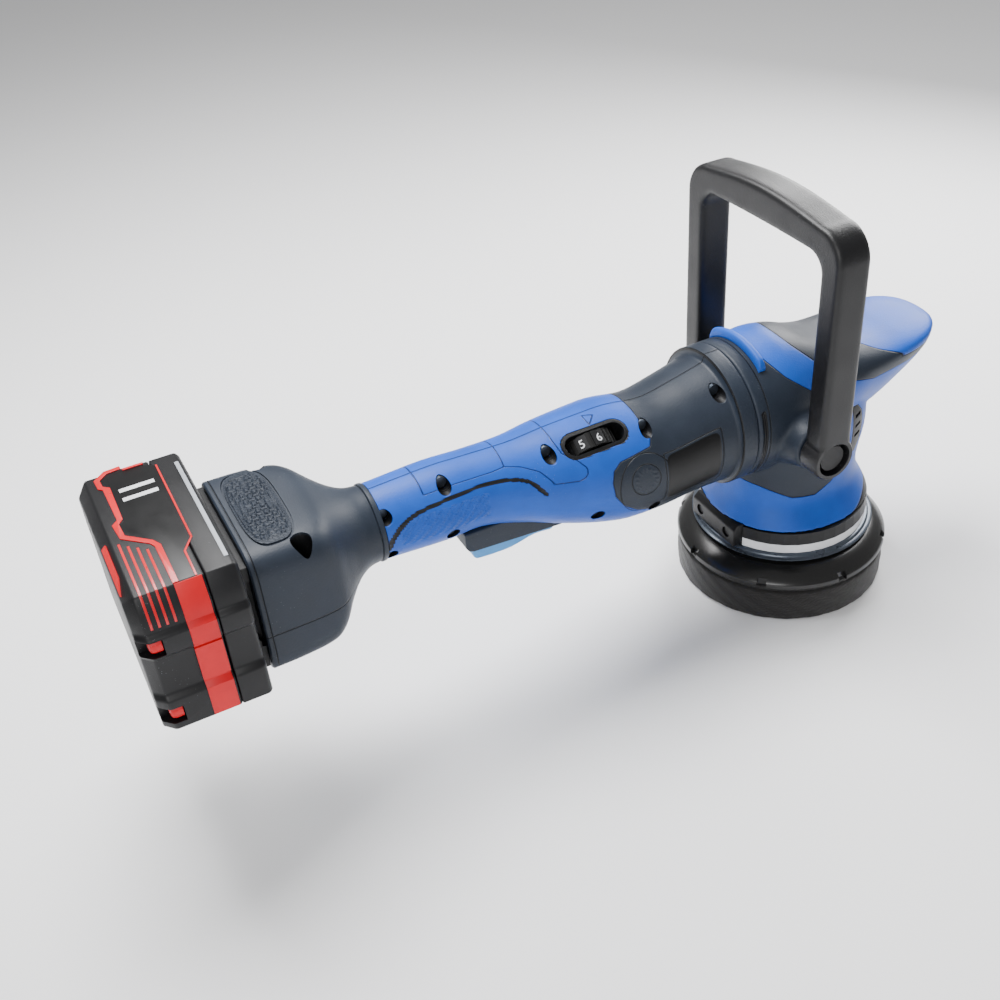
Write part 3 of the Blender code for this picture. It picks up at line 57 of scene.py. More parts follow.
class Tone(Enum):
    """Colours of the tool's plastics and metals, as linear RGB."""
    SLATE = (0.0150, 0.0215, 0.0340)
    BLUE = (0.0060, 0.0780, 0.4400)
    PALE_BLUE = (0.080, 0.300, 0.660)
    BLACK = (0.0045, 0.0045, 0.0055)
    DEEP_BLACK = (0.0020, 0.0020, 0.0024)
    RED = (0.560, 0.002, 0.008)
    WHITE = (0.700, 0.710, 0.740)
    FOAM = (0.0110, 0.0100, 0.0098)
    STEEL = (0.500, 0.510, 0.530)
    DARK_STEEL = (0.070, 0.085, 0.110)
    ALLOY = (0.620, 0.620, 0.640)
    COPPER = (0.450, 0.200, 0.090)
    BOARD = (0.015, 0.110, 0.050)
    BRASS = (0.650, 0.470, 0.190)
    GREY = (0.300, 0.320, 0.350)


# ------------------------------------------------------------------ shader groups and finishes

def add(tree: bpy.types.NodeTree, kind: str, **inputs: object) -> bpy.types.Node:
    """Add a node and set or link its inputs.

    Args:
        tree: The node tree.
        kind: The node's type.
        inputs: Values or sockets by input name or i0, i1..., and node properties with a p_ prefix.

    Returns:
        The new node.
    """
    made = tree.nodes.new(kind)
    for key, value in inputs.items():
        if key.startswith("p_"):
            setattr(made, key[2:], value)
    for key, value in inputs.items():
        if key.startswith("p_"):
            continue
        name = key.replace("_", " ")
        socket = made.inputs[int(key[1:])] if key[0] == "i" and key[1:].isdigit() else made.inputs[name]
        if isinstance(value, bpy.types.NodeSocket):
            tree.links.new(value, socket)
        else:
            socket.default_value = value
    return made


def math_node(tree: bpy.types.NodeTree, operation: str, *values: object) -> bpy.types.NodeSocket:
    """A Math node's result.

    Args:
        tree: The node tree.
        operation: The operation's name.
        values: Numbers or sockets for its inputs.

    Returns:
        The output socket.
    """
    made = add(tree, "ShaderNodeMath", p_operation=operation,
        **{f"i{i}": v for i, v in enumerate(values)})
    return made.outputs[0]


def new_group(name: str, inputs: dict[str, float], outputs: dict[str, str]) -> tuple[bpy.types.NodeTree,
    bpy.types.Node, bpy.types.Node]:
    """Start a shader group with named sockets.

    Args:
        name: The group's name.
        inputs: Float inputs and their defaults.
        outputs: Output names and their socket types.

    Returns:
        The tree, its input node and its output node.
    """
    tree = bpy.data.node_groups.new(name, "ShaderNodeTree")
    for label, value in inputs.items():
        socket = tree.interface.new_socket(name=label, in_out="INPUT", socket_type="NodeSocketFloat")
        socket.default_value = value
    for label, kind in outputs.items():
        tree.interface.new_socket(name=label, in_out="OUTPUT", socket_type=kind)
    return tree, tree.nodes.new("NodeGroupInput"), tree.nodes.new("NodeGroupOutput")


def grain_group() -> bpy.types.NodeTree:
    """Moulded grain: a fine bump with a slow unevenness under it.

    Returns:
        The group's tree.
    """
    tree, start, end = new_group("moulded_grain", {"Scale": 2200.0, "Strength": 1.0},
                                 {"Height": "NodeSocketFloat", "Unevenness": "NodeSocketFloat"})
    place = add(tree, "ShaderNodeTexCoord").outputs["Object"]
    fine = add(tree, "ShaderNodeTexNoise", Vector=place, Scale=start.outputs["Scale"], Detail=3.0,
               Roughness=0.6).outputs["Fac"]
    slow = add(tree, "ShaderNodeTexNoise", Vector=place, Scale=55.0, Detail=4.0,
        Roughness=0.6).outputs["Fac"]
    height = math_node(tree, "MULTIPLY", fine, start.outputs["Strength"])
    tree.links.new(height, end.inputs["Height"])
    tree.links.new(slow, end.inputs["Unevenness"])
    return tree


def dust_group() -> bpy.types.NodeTree:
    """Sparse pale specks of dust, gathered in patches.

    Returns:
        The group's tree.
    """
    tree, start, end = new_group("dust", {"Amount": 0.5}, {"Mask": "NodeSocketFloat"})
    place = add(tree, "ShaderNodeTexCoord").outputs["Object"]
    cells = add(tree, "ShaderNodeTexVoronoi", Vector=place, Scale=620.0).outputs["Distance"]
    spots = math_node(tree, "LESS_THAN", cells, 0.085)
    patch = add(tree, "ShaderNodeTexNoise", Vector=place, Scale=38.0, Detail=2.0).outputs["Fac"]
    where = add(tree, "ShaderNodeMapRange", Value=patch, i1=0.52, i2=0.72).outputs["Result"]
    mask = math_node(tree, "MULTIPLY", math_node(tree, "MULTIPLY", spots, where), start.outputs["Amount"])
    tree.links.new(mask, end.inputs["Mask"])
    return tree


def wear_group() -> bpy.types.NodeTree:
    """Edge wear: lighter plastic where the surface is convex.

    Returns:
        The group's tree.
    """
    tree, start, end = new_group("edge_wear", {"Amount": 0.4}, {"Mask": "NodeSocketFloat"})
    bend = add(tree, "ShaderNodeNewGeometry").outputs["Pointiness"]
    edge = add(tree, "ShaderNodeMapRange", Value=bend, i1=0.515, i2=0.60).outputs["Result"]
    place = add(tree, "ShaderNodeTexCoord").outputs["Object"]
    broken = add(tree, "ShaderNodeTexNoise", Vector=place, Scale=160.0, Detail=3.0).outputs["Fac"]
    mask = math_node(tree, "MULTIPLY", math_node(tree, "MULTIPLY", edge, broken), start.outputs["Amount"])
    tree.links.new(mask, end.inputs["Mask"])
    return tree


def seam_group() -> bpy.types.NodeTree:
    """A moulded parting line from a distance in millimetres: its depth and its shade.

    Returns:
        The group's tree.
    """
    tree, start, end = new_group("seam", {"Distance": 9.0, "Width": 0.45},
                                 {"Height": "NodeSocketFloat", "Shade": "NodeSocketFloat"})
    share = math_node(tree, "DIVIDE", start.outputs["Distance"], start.outputs["Width"])
    height = add(tree, "ShaderNodeMapRange", p_interpolation_type="SMOOTHSTEP", Value=share, i1=0.2,
        i2=1.2)
    tree.links.new(height.outputs["Result"], end.inputs["Height"])
    shade = add(tree, "ShaderNodeMapRange", Value=share, i1=0.25, i2=1.0, i3=0.22, i4=1.0)
    tree.links.new(shade.outputs["Result"], end.inputs["Shade"])
    return tree


def tone_group() -> bpy.types.NodeTree:
    """Whether a signed distance in millimetres lies inside a region, with a crisp edge; the regions are
    mouldings and the painted shade in pockets.

    Returns:
        The group's tree.
    """
    tree, start, end = new_group("moulding_mask", {"Distance": 0.0}, {"Mask": "NodeSocketFloat"})
    mask = add(tree, "ShaderNodeMapRange", Value=start.outputs["Distance"], i1=-0.05, i2=0.05)
    tree.links.new(mask.outputs["Result"], end.inputs["Mask"])
    return tree


def weave_group() -> bpy.types.NodeTree:
    """Small raised bars laid like bricks, for a grip surface.

    Returns:
        The group's tree.
    """
    tree, start, end = new_group("weave", {"Depth": 0.5}, {"Height": "NodeSocketFloat"})
    place = add(tree, "ShaderNodeTexCoord").outputs["Object"]
    turned_place = add(tree, "ShaderNodeMapping", Vector=place, Rotation=(0.0, 0.0, math.radians(38.0)))
    bricks = add(tree, "ShaderNodeTexBrick", Vector=turned_place.outputs["Vector"], Scale=1.0)
    bricks.inputs["Mortar Size"].default_value = 0.00036
    bricks.inputs["Mortar Smooth"].default_value = 0.6
    bricks.inputs["Brick Width"].default_value = 0.0031
    bricks.inputs["Row Height"].default_value = 0.00175
    bars = math_node(tree, "SUBTRACT", 1.0, bricks.outputs["Fac"])
    tree.links.new(math_node(tree, "MULTIPLY", bars, start.outputs["Depth"]), end.inputs["Height"])
    return tree


GROUPS = {"weave": weave_group(), "grain": grain_group(), "dust": dust_group(), "wear": wear_group(),
    "seam": seam_group(),
          "tone": tone_group()}


def use_group(tree: bpy.types.NodeTree, key: str, **inputs: object) -> bpy.types.Node:
    """Place one of the shared groups in a material.

    Args:
        tree: The node tree.
        key: The group's key in GROUPS.
        inputs: Values or sockets by input name.

    Returns:
        The group node.
    """
    made = tree.nodes.new("ShaderNodeGroup")
    made.node_tree = GROUPS[key]
    for name, value in inputs.items():
        if isinstance(value, bpy.types.NodeSocket):
            tree.links.new(value, made.inputs[name])
        else:
            made.inputs[name].default_value = value
    return made


def colour_mix(tree: bpy.types.NodeTree, factor: object, first: object, second: object,
               blend: str = "MIX") -> bpy.types.NodeSocket:
    """Mix two colours.

    Args:
        tree: The node tree.
        factor: A number or socket.
        first: A colour tuple or socket.
        second: A colour tuple or socket.
        blend: The blend type.

    Returns:
        The resulting colour socket.
    """
    made = tree.nodes.new("ShaderNodeMix")
    made.data_type = "RGBA"
    made.blend_type = blend
    for socket, value in ((made.inputs[0], factor), (made.inputs[6], first), (made.inputs[7], second)):
        if isinstance(value, bpy.types.NodeSocket):
            tree.links.new(value, socket)
        else:
            socket.default_value = value if isinstance(value, float) else (*value, 1.0)
    return made.outputs[2]


@dataclass(frozen=True)
class Finish:
    """One finish: a base colour with grain, dust, wear and optional regions of other colours: mouldings,
    and painted shade in pockets.
    """
    name: str
    tone: Tone
    roughness: float = 0.5
    metallic: float = 0.0
    grain: float = 0.05          # depth of the grain in millimetres
    grain_scale: float = 2200.0
    dust: float = 0.35
    wear: float = 0.3
    coat: float = 0.0
    sheen: float = 0.0
    specular: float = 0.30
    regions: tuple[tuple[str, Tone], ...] = ()
    lines: tuple[str, ...] = ()
    pattern: bool = False

    def material(self) -> bpy.types.Material:
        """Build the material, once.

        Returns:
            The material.
        """
        known = bpy.data.materials.get(self.name)
        if known:
            return known
        made = bpy.data.materials.new(self.name)
        made.use_nodes = True
        tree = made.node_tree
        shader = tree.nodes["Principled BSDF"]
        grain = use_group(tree, "grain", Scale=self.grain_scale, Strength=1.0)
        colour: object = self.tone.value
        for attribute, tone in self.regions:
            distance = add(tree, "ShaderNodeAttribute", p_attribute_name=attribute).outputs["Fac"]
            mask = use_group(tree, "tone", Distance=distance).outputs["Mask"]
            colour = colour_mix(tree, mask, colour, tone.value)
        height = math_node(tree, "MULTIPLY", grain.outputs["Height"], self.grain)
        if self.pattern:
            height = math_node(tree, "ADD", height, use_group(tree, "weave",
                Depth=0.55).outputs["Height"])
        if self.lines:
            distance: object = 9.0
            for line in self.lines:
                reach = add(tree, "ShaderNodeAttribute", p_attribute_name=line).outputs["Fac"]
                distance = math_node(tree, "MINIMUM", distance, math_node(tree, "ABSOLUTE", reach))
            seam = use_group(tree, "seam", Distance=distance)
            relief = add(tree, "ShaderNodeAttribute", p_attribute_name="relief").outputs["Fac"]
            grey = add(tree, "ShaderNodeCombineColor", i0=seam.outputs["Shade"], i1=seam.outputs["Shade"],
                       i2=seam.outputs["Shade"]).outputs[0]
            colour = colour_mix(tree, 1.0, colour, grey, "MULTIPLY")
            height = math_node(tree, "ADD", height, math_node(tree, "MULTIPLY", seam.outputs["Height"],
                0.5))
            height = math_node(tree, "ADD", height, relief)
        shade = add(tree, "ShaderNodeMapRange", Value=grain.outputs["Unevenness"], i1=0.3, i2=0.7,
            i3=0.90,
                    i4=1.10).outputs["Result"]
        tint = add(tree, "ShaderNodeCombineColor", i0=shade, i1=shade, i2=shade).outputs[0]
        colour = colour_mix(tree, 1.0, colour, tint, "MULTIPLY")
        worn = use_group(tree, "wear", Amount=self.wear).outputs["Mask"]
        pale = tuple(min(1.0, c * 2.2 + 0.03) for c in self.tone.value)
        colour = colour_mix(tree, math_node(tree, "MULTIPLY", worn, 0.6), colour, pale)
        specks = use_group(tree, "dust", Amount=self.dust).outputs["Mask"]
        colour = colour_mix(tree, specks, colour, (0.42, 0.45, 0.50))
        tree.links.new(colour, shader.inputs["Base Color"])
        rough = add(tree, "ShaderNodeMapRange", Value=grain.outputs["Unevenness"], i1=0.25, i2=0.75,
                    i3=max(0.03, self.roughness - 0.06), i4=self.roughness + 0.06).outputs["Result"]
        tree.links.new(rough, shader.inputs["Roughness"])
        bump = add(tree, "ShaderNodeBump", Strength=1.0, Distance=MM, Height=height)
        tree.links.new(bump.outputs["Normal"], shader.inputs["Normal"])
        shader.inputs["Metallic"].default_value = self.metallic
        shader.inputs["Coat Weight"].default_value = self.coat
        shader.inputs["Coat Roughness"].default_value = 0.12
        shader.inputs["Sheen Weight"].default_value = self.sheen
        shader.inputs["Specular IOR Level"].default_value = self.specular
        made.diffuse_color = (*self.tone.value, 1.0)
        return made


NYLON = Finish("slate_nylon", Tone.SLATE, 0.46, grain=0.11, grain_scale=1100.0)
HEAD_PLASTIC = Finish("head_mouldings", Tone.SLATE, 0.46, grain=0.11, grain_scale=1100.0,
    lines=("blue", "black", "casing", "joint"),
                      regions=(("blue", Tone.BLUE), ("black", Tone.BLACK)))
# its black region also holds painted shade inside the handle's screw pockets
BODY_PLASTIC = Finish("body_mouldings", Tone.SLATE, 0.46, grain=0.11, grain_scale=1100.0,
    lines=("blue", "parting", "lobe", "ring", "plate", "bezel", "mark", "panel",
                             "step"),
                      regions=(("blue", Tone.BLUE), ("black", Tone.BLACK)))
# its black region is painted shade on the floors of the rear pockets
REAR_PLASTIC = Finish("rear_mouldings", Tone.SLATE, 0.48, grain=0.11, grain_scale=1100.0,
    lines=("seam", "lip"),
                      regions=(("black", Tone.BLACK),))
SOFT_BLUE = Finish("soft_blue", Tone.BLUE, 0.52, grain=0.04)
PALE = Finish("trigger_blue", Tone.PALE_BLUE, 0.50, grain=0.03)
BLACK = Finish("black_nylon", Tone.BLACK, 0.42, grain=0.06)
BAIL_BLACK = Finish("bail_nylon", Tone.BLACK, 0.42, grain=0.13, grain_scale=1200.0, dust=0.5,
    specular=0.4)
GLOSS = Finish("gloss_black", Tone.DEEP_BLACK, 0.20, grain=0.004, coat=0.25, dust=0.25)
LABEL = Finish("label_black", Tone.DEEP_BLACK, 0.34, grain=0.003, dust=0.1)
RED = Finish("red_plastic", Tone.RED, 0.40, grain=0.03)
RED_PRINT = Finish("red_print", Tone.RED, 0.30, grain=0.004, coat=0.3, dust=0.1)
WHITE_RING = Finish("white_wear_ring", Tone.WHITE, 0.50, grain=0.02)
FOAM = Finish("open_cell_foam", Tone.FOAM, 0.97, grain=0.55, grain_scale=900.0, dust=0.6, wear=0.1,
    sheen=0.25)
HOOK = Finish("hook_cloth", Tone.DEEP_BLACK, 0.95, grain=0.4, grain_scale=1500.0, sheen=0.3)
STEEL = Finish("ground_steel", Tone.STEEL, 0.28, metallic=1.0, grain=0.006)
DARK_STEEL = Finish("blackened_steel", Tone.DARK_STEEL, 0.34, metallic=0.85, grain=0.01)
RING_METAL = Finish("ring_metal", Tone.DARK_STEEL, 0.30, metallic=0.6, grain=0.01, coat=0.3)
ALLOY = Finish("die_cast_alloy", Tone.ALLOY, 0.45, metallic=1.0, grain=0.05)
COPPER = Finish("copper_windings", Tone.COPPER, 0.40, metallic=0.8, grain=0.10, grain_scale=1800.0)
BOARD = Finish("potted_board", Tone.BOARD, 0.40, grain=0.02)
BRASS = Finish("contact_brass", Tone.BRASS, 0.30, metallic=1.0, grain=0.004)
WHITE_PRINT = Finish("white_print", Tone.WHITE, 0.40, grain=0.002, dust=0.0, wear=0.0)
GREY_TRIM = Finish("grey_trim", Tone.GREY, 0.40, grain=0.02)
RUBBER = Finish("grip_rubber", Tone.SLATE, 0.55, grain=0.04, pattern=True)


# ------------------------------------------------------------------ meshes

def as_object(name: str, verts: Array, faces: Faces, sharp: float = 35.0) -> bpy.types.Object:
    """Make an object from points in millimetres.

    Args:
        name: The piece's name.
        verts: Points, one a row.
        faces: Corner indices of each face.
        sharp: Angle in degrees above which an edge stays sharp.

    Returns:
        The object, linked to the scene.
    """
    mesh = bpy.data.meshes.new(name)
    mesh.from_pydata((np.asarray(verts, float) * MM).tolist(), [], faces)
    work = bmesh.new()
    work.from_mesh(mesh)
    bmesh.ops.remove_doubles(work, verts=work.verts, dist=1e-6)
    bmesh.ops.recalc_face_normals(work, faces=work.faces)
    work.to_mesh(mesh)
    work.free()
    mesh.shade_smooth()
    mesh.set_sharp_from_angle(angle=math.radians(sharp))
    made = bpy.data.objects.new(name, mesh)
    bpy.context.scene.collection.objects.link(made)
    return made


def ring_faces(rows: int, count: int, closed: bool = False, caps: bool = True) -> Faces:
    """Faces of a skin over rings of the same number of points.

    Args:
        rows: Number of rings.
        count: Points in a ring.
        closed: Whether the last ring meets the first.
        caps: Whether the ends are filled.

    Returns:
        The faces.
    """
    faces: Faces = []
    for r in range(rows if closed else rows - 1):
        a = r * count
        b = ((r + 1) % rows) * count
        for i in range(count):
            j = (i + 1) % count
            faces.append((a + i, a + j, b + j, b + i))
    if caps and not closed:
        faces.append(tuple(range(count)))
        faces.append(tuple(range((rows - 1) * count, rows * count))[::-1])
    return faces


def loft(name: str, rings: Sequence[Array], closed: bool = False,
    sharp: float = 35.0) -> bpy.types.Object:
    """A closed skin through rings of points.

    Args:
        name: The piece's name.
        rings: Rings of points, in order.
        closed: Whether the last ring meets the first.
        sharp: Angle in degrees above which an edge stays sharp.

    Returns:
        The object.
    """
    rows = [np.asarray(ring, float) for ring in rings]
    return as_object(name, np.vstack(rows), ring_faces(len(rows), len(rows[0]), closed), sharp)


def turned(name: str, profile: Sequence[tuple[float, float]], centre: tuple[float, float, float],
           axis: str = "Z", count: int = 128) -> bpy.types.Object:
    """A closed profile of (radius, height) turned around an axis.

    Args:
        name: The piece's name.
        profile: The section's corners, in order.
        centre: A point on the axis.
        axis: X, Y or Z.
        count: Steps around.

    Returns:
        The object.
    """
    rings = []
    for i in range(count):
        a = math.tau * i / count
        ring = []
        for radius, height in profile:
            u, v = max(radius, 0.02) * math.cos(a), max(radius, 0.02) * math.sin(a)
            ring.append({"Z": (u, v, height), "X": (height, u, v), "Y": (v, height, u)}[axis])
        rings.append(np.array(ring) + np.array(centre))
    return loft(name, rings, closed=True)


def superellipse(count: int, exponent: float, phase: float = 0.0) -> Array:
    """Unit points of a superellipse, one a row.

    Args:
        count: Number of points.
        exponent: Exponent of the curve; 2 gives an ellipse.
        phase: Start angle in radians.

    Returns:
        The points.
    """
    a = np.linspace(0.0, math.tau, count, endpoint=False) + phase
    u, v = np.cos(a), np.sin(a)
    return np.stack([np.sign(u) * np.abs(u) ** (2 / exponent), np.sign(v) * np.abs(v) ** (2 / exponent)],
        1)


def even_loop(points: Array, count: int) -> Array:
    """A closed line's points, spaced evenly along it.

    Args:
        points: The points, one a row.
        count: Number of points.

    Returns:
        The new points.
    """
    closed = np.vstack([points, points[:1]])
    along = np.concatenate([[0.0], np.cumsum(np.linalg.norm(np.diff(closed, axis=0), axis=1))])
    at = np.linspace(0.0, along[-1], count, endpoint=False)
    return np.stack([np.interp(at, along, closed[:, i]) for i in range(closed.shape[1])], 1)


def smooth_row(table: Sequence[Sequence[float]], x: float) -> list[float]:
    """A row of a table at x, on a smooth curve through its rows.

    Args:
        table: Rows of a station and its values.
        x: Place along the tool.

    Returns:
        The values at x.
    """
    rows = sorted(table)
    x = min(max(x, rows[0][0]), rows[-1][0])
    k = next(i for i in range(len(rows) - 1) if x <= rows[i + 1][0] + 1e-9)
    before, first, second, after = rows[max(k - 1, 0)], rows[k], rows[k + 1], rows[min(k + 2,
        len(rows) - 1)]
    span = second[0] - first[0]
    t = (x - first[0]) / span
    out = []
    for a, b, c, d in zip(before[1:], first[1:], second[1:], after[1:]):
        m0 = (c - a) / (second[0] - before[0]) * span
        m1 = (d - b) / (after[0] - first[0]) * span
        out.append((2 * t ** 3 - 3 * t ** 2 + 1) * b + (t ** 3 - 2 * t ** 2 + t) * m0
                   + (3 * t ** 2 - 2 * t ** 3) * c + (t ** 3 - t ** 2) * m1)
    return out


def prism(name: str, outline: Sequence[tuple[float, float]], axis: str, low: float, high: float,
          bevel: float = 0.0) -> bpy.types.Object:
    """A flat outline extruded along an axis, with its edges rounded.

    Args:
        name: The piece's name.
        outline: (y, z), (x, z) or (x, y) corners for X, Y or Z.
        axis: The direction of the extrusion.
        low: Its start.
        high: Its end.
        bevel: Radius of the rounded edges.

    Returns:
        The object.
    """
    order = {"X": lambda u, v, w: (w, u, v), "Y": lambda u, v, w: (u, w, v), "Z": lambda u, v,
        w: (u, v, w)}[axis]
    rings = [np.array([order(u, v, w) for u, v in outline]) for w in (low, high)]
    made = loft(name, rings)
    if bevel:
        round_edges(made, bevel)
    return made


def round_edges(obj: bpy.types.Object, width: float, segments: int = 3, angle: float = 28.0) -> None:
    """Round the sharp edges of an object and fix the result in its mesh.

    Args:
        obj: The object.
        width: Width of the band or rounding.
        segments: Steps across each rounding.
        angle: Edges sharper than this many degrees are rounded.
    """
    step = obj.modifiers.new("rounding", "BEVEL")
    step.width = width * MM
    step.segments = segments
    step.limit_method = "ANGLE"
    step.angle_limit = math.radians(angle)
    step.harden_normals = False
    fix_modifiers(obj)
    obj.data.shade_smooth()
    obj.data.set_sharp_from_angle(angle=math.radians(40))


def fix_modifiers(obj: bpy.types.Object) -> None:
    """Replace an object's mesh with the result of its modifiers.

    Args:
        obj: The object.
    """
    graph = bpy.context.evaluated_depsgraph_get()
    mesh = bpy.data.meshes.new_from_object(obj.evaluated_get(graph))
    obj.modifiers.clear()
    obj.data = mesh


def carve(obj: bpy.types.Object, others: Iterable[bpy.types.Object], operation: str = "DIFFERENCE",
          sharp: float = 35.0) -> None:
    """Cut, join or intersect with other objects, which are used up.

    Args:
        obj: The piece that changes.
        others: Objects that don't meet each other.
        operation: The Boolean operation.
        sharp: Angle above which an edge stays sharp.
    """
    work = bmesh.new()
    for other in others:
        work.from_mesh(other.data)
        bpy.data.objects.remove(other, do_unlink=True)
    mesh = bpy.data.meshes.new("tool")
    work.to_mesh(mesh)
    work.free()
    tool = bpy.data.objects.new("tool", mesh)
    bpy.context.scene.collection.objects.link(tool)
    step = obj.modifiers.new("carve", "BOOLEAN")
    step.operation = operation
    step.object = tool
    step.solver = "EXACT"
    fix_modifiers(obj)
    bpy.data.objects.remove(tool, do_unlink=True)
    obj.data.shade_smooth()
    obj.data.set_sharp_from_angle(angle=math.radians(sharp))


def points_of(obj: bpy.types.Object) -> Array:
    """An object's points in millimetres.

    Args:
        obj: The object.

    Returns:
        The points, one a row.
    """
    out = np.empty(len(obj.data.vertices) * 3)
    obj.data.vertices.foreach_get("co", out)
    return out.reshape(-1, 3) / MM


def store(obj: bpy.types.Object, name: str, values: Array) -> None:
    """Keep one number a point in the mesh for its material.

    Args:
        obj: The object.
        name: The piece's name.
        values: One number a point.
    """
    layer = obj.data.attributes.new(name, "FLOAT", "POINT")
    layer.data.foreach_set("value", np.asarray(values, np.float32))


def inside_distance(points: Array, outline: Sequence[tuple[float, float]]) -> Array:
    """Signed distance to a polygon, positive inside it.

    Args:
        points: (n, 2) points.
        outline: The polygon's corners.

    Returns:
        One distance a point.
    """
    corners = np.asarray(outline, float)
    best = np.full(len(points), 1e9)
    inside = np.zeros(len(points), bool)
    for a, b in zip(corners, np.roll(corners, -1, 0)):
        best = np.minimum(best, segment_distance(points, a, b))
        crosses = (a[1] > points[:, 1]) != (b[1] > points[:, 1])
        with np.errstate(divide="ignore", invalid="ignore"):
            at = (b[0] - a[0]) * (points[:, 1] - a[1]) / (b[1] - a[1]) + a[0]
        inside ^= crosses & (points[:, 0] < at)
    return np.where(inside, best, -best)


def segment_distance(points: Array, a: Array, b: Array) -> Array:
    """Distance from points to one segment.

    Args:
        points: The points, one a row.
        a: The segment's start.
        b: The segment's end.

    Returns:
        One distance a point.
    """
    run = b - a
    t = np.clip(((points - a) @ run) / max(float(run @ run), 1e-9), 0.0, 1.0)
    return np.linalg.norm(points - a - t[:, None] * run, axis=1)


def line_distance(points: Array, line: Sequence[tuple[float, float]]) -> Array:
    """Distance to an open polyline.

    Args:
        points: The points, one a row.
        line: The line's corners.

    Returns:
        One distance a point.
    """
    corners = np.asarray(line, float)
    return np.min([segment_distance(points, a, b) for a, b in zip(corners, corners[1:])], axis=0)


def finish_piece(obj: bpy.types.Object, body: str, finish: Finish,
                 replaced: Sequence[str] = ()) -> bpy.types.Object:
    """Dress a piece, put it on its body and report it.

    Args:
        obj: The piece.
        body: The CAD body that it rides on.
        finish: Its finish.
        replaced: CAD nodes that it stands for.

    Returns:
        The piece.
    """
    obj.data.materials.clear()
    obj.data.materials.append(finish.material())
    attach(obj, body)
    if replaced:
        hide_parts(*replaced)
    LOG.info("%s: %d faces on %s", obj.name, len(obj.data.polygons), body)
    return obj


def dress(finish: Finish, *nodes: str) -> None:
    """Give CAD nodes that keep their shape a finish.

    Args:
        finish: The finish.
        nodes: Names of CAD nodes.
    """
    for name in nodes:
        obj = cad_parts[name]
        if obj.material_slots:
            for place in obj.material_slots:
                place.material = finish.material()
        else:
            obj.data.materials.append(finish.material())


# ------------------------------------------------------------------ pad stack

@dataclass
class PadStack:
    """Foam pad, backing plate and the rings above it."""
    centre: tuple[float, float] = (-2.571, -3.064)
    radius: float = 62.0
    foam: float = 21.5
    plate_low: float = 24.0
    plate_high: float = 34.0
    notches: int = 8
    seal_radius: float = 49.6

    def build(self) -> None:
        """Make every piece of the stack."""
        self.foam_disc()
        self.backing()
        self.rings()
        dress(HOOK, "hook_loop_disc")
        dress(STEEL, "pad_spindle")

    def foam_disc(self) -> None:
        """Foam pad with a soft rounded rim and an uneven cut side."""
        top, edge, radius = self.foam, 1.8, self.radius - 0.3
        profile = [(0.0, 0.0), (radius * 0.5, 0.0), (radius - 6, 0.02), (radius - edge, 0.0)]
        profile += [(radius - edge + edge * math.sin(math.radians(18 * i)),
                     edge - edge * math.cos(math.radians(18 * i))) for i in range(1, 6)]
        profile += [(radius + 0.25 * math.sin(math.pi * i / 8),
            edge + (top - 2 * edge) * i / 8) for i in range(1, 9)]
        profile += [(radius - edge + edge * math.cos(math.radians(18 * i)),
                     top - edge + edge * math.sin(math.radians(18 * i))) for i in range(1, 6)]
        profile += [(radius * 0.5, top), (0.0, top)]
        pad = turned("foam_disc", profile, (*self.centre, 0.0), count=180)
        points = points_of(pad)
        off = points[:, :2] - np.array(self.centre)
        reach = np.linalg.norm(off, axis=1)
        angle = np.arctan2(off[:, 1], off[:, 0])
        wave = 0.16 * np.sin(23 * angle + 0.7 * points[:, 2]) + 0.10 * np.sin(61 * angle - 1.3 * points[:,
            2])
        push = np.where(reach > self.radius - 3, wave, 0.0) / np.maximum(reach, 1.0)
        points[:, :2] += off * push[:, None]
        pad.data.vertices.foreach_set("co", (points * MM).ravel())
        finish_piece(pad, "pad", FOAM, ["foam_pad"])

    def backing(self) -> None:
        """Glossy backing plate with notches round its rim."""
        rim = self.radius + 0.5
        low, high = self.plate_low, self.plate_high
        profile = [(4.5, high), (rim - 12.5, high), (rim - 11.2, high - 0.15), (rim - 8.5, high - 0.9),
                   (rim - 6.2, high - 2.0), (rim - 4.0, high - 3.3), (rim - 1.9, high - 4.9),
                   (rim - 0.8, high - 6.0), (rim - 0.1, low + 3.2), (rim, low + 2.6), (rim, low + 0.6),
                   (rim - 0.6, low), (4.5, low)]
        plate = turned("plate_body", profile, (*self.centre, 0.0), count=160)
        tools = []
        for i in range(self.notches):
            box = prism("notch", [(rim - 3.0, -2.75), (rim + 3.0, -2.75), (rim + 3.0, 2.75),
                (rim - 3.0, 2.75)],
                        "Z", low - 1.0, low + 5.5)
            turn = Matrix.Translation((self.centre[0] * MM, self.centre[1] * MM, 0)) @ Matrix.Rotation(
                math.radians(-47.0 + 45.0 * i), 4, "Z")
            box.data.transform(turn)
            tools.append(box)
        carve(plate, tools)
        finish_piece(plate, "pad", GLOSS, ["backing_plate"])

    def rings(self) -> None:
        """Carrier ring, white wear ring and the black shroud."""
        r = self.seal_radius
        carrier = turned("carrier_ring", [(r - 5, 38.0), (r + 1.0, 38.0), (r + 1.6, 37.7),
            (r + 2.2, 36.8),
                                          (r + 4.0, 36.5), (r + 4.4, 36.2), (r + 4.4, 35.8), (r - 5,
                                              35.8)], (0, 0, 0))
        finish_piece(carrier, "body", RING_METAL, ["seal_carrier"])
        dress(WHITE_RING, "brake_seal")
        dress(BLACK, "lower_shroud", "clamp_screw_left", "clamp_screw_right")
        block = prism("clamp_block", [(-50.8, 38.6), (-38.5, 38.6), (-38.5, 53.4), (-47.3, 53.4),
            (-50.8, 49.9)],
                      "Y", -21.0, 21.0, bevel=0.9)
        pockets = [turned("pocket", [(0, -52.0), (3.3, -52.0), (3.3, -46.0), (0, -46.0)], (0, y, 45.0),
            "X", 32)
                   for y in (-13.0, 13.0)]
        carve(block, pockets)
        finish_piece(block, "body", BLACK, ["shroud_clamp"])


# ------------------------------------------------------------------ head

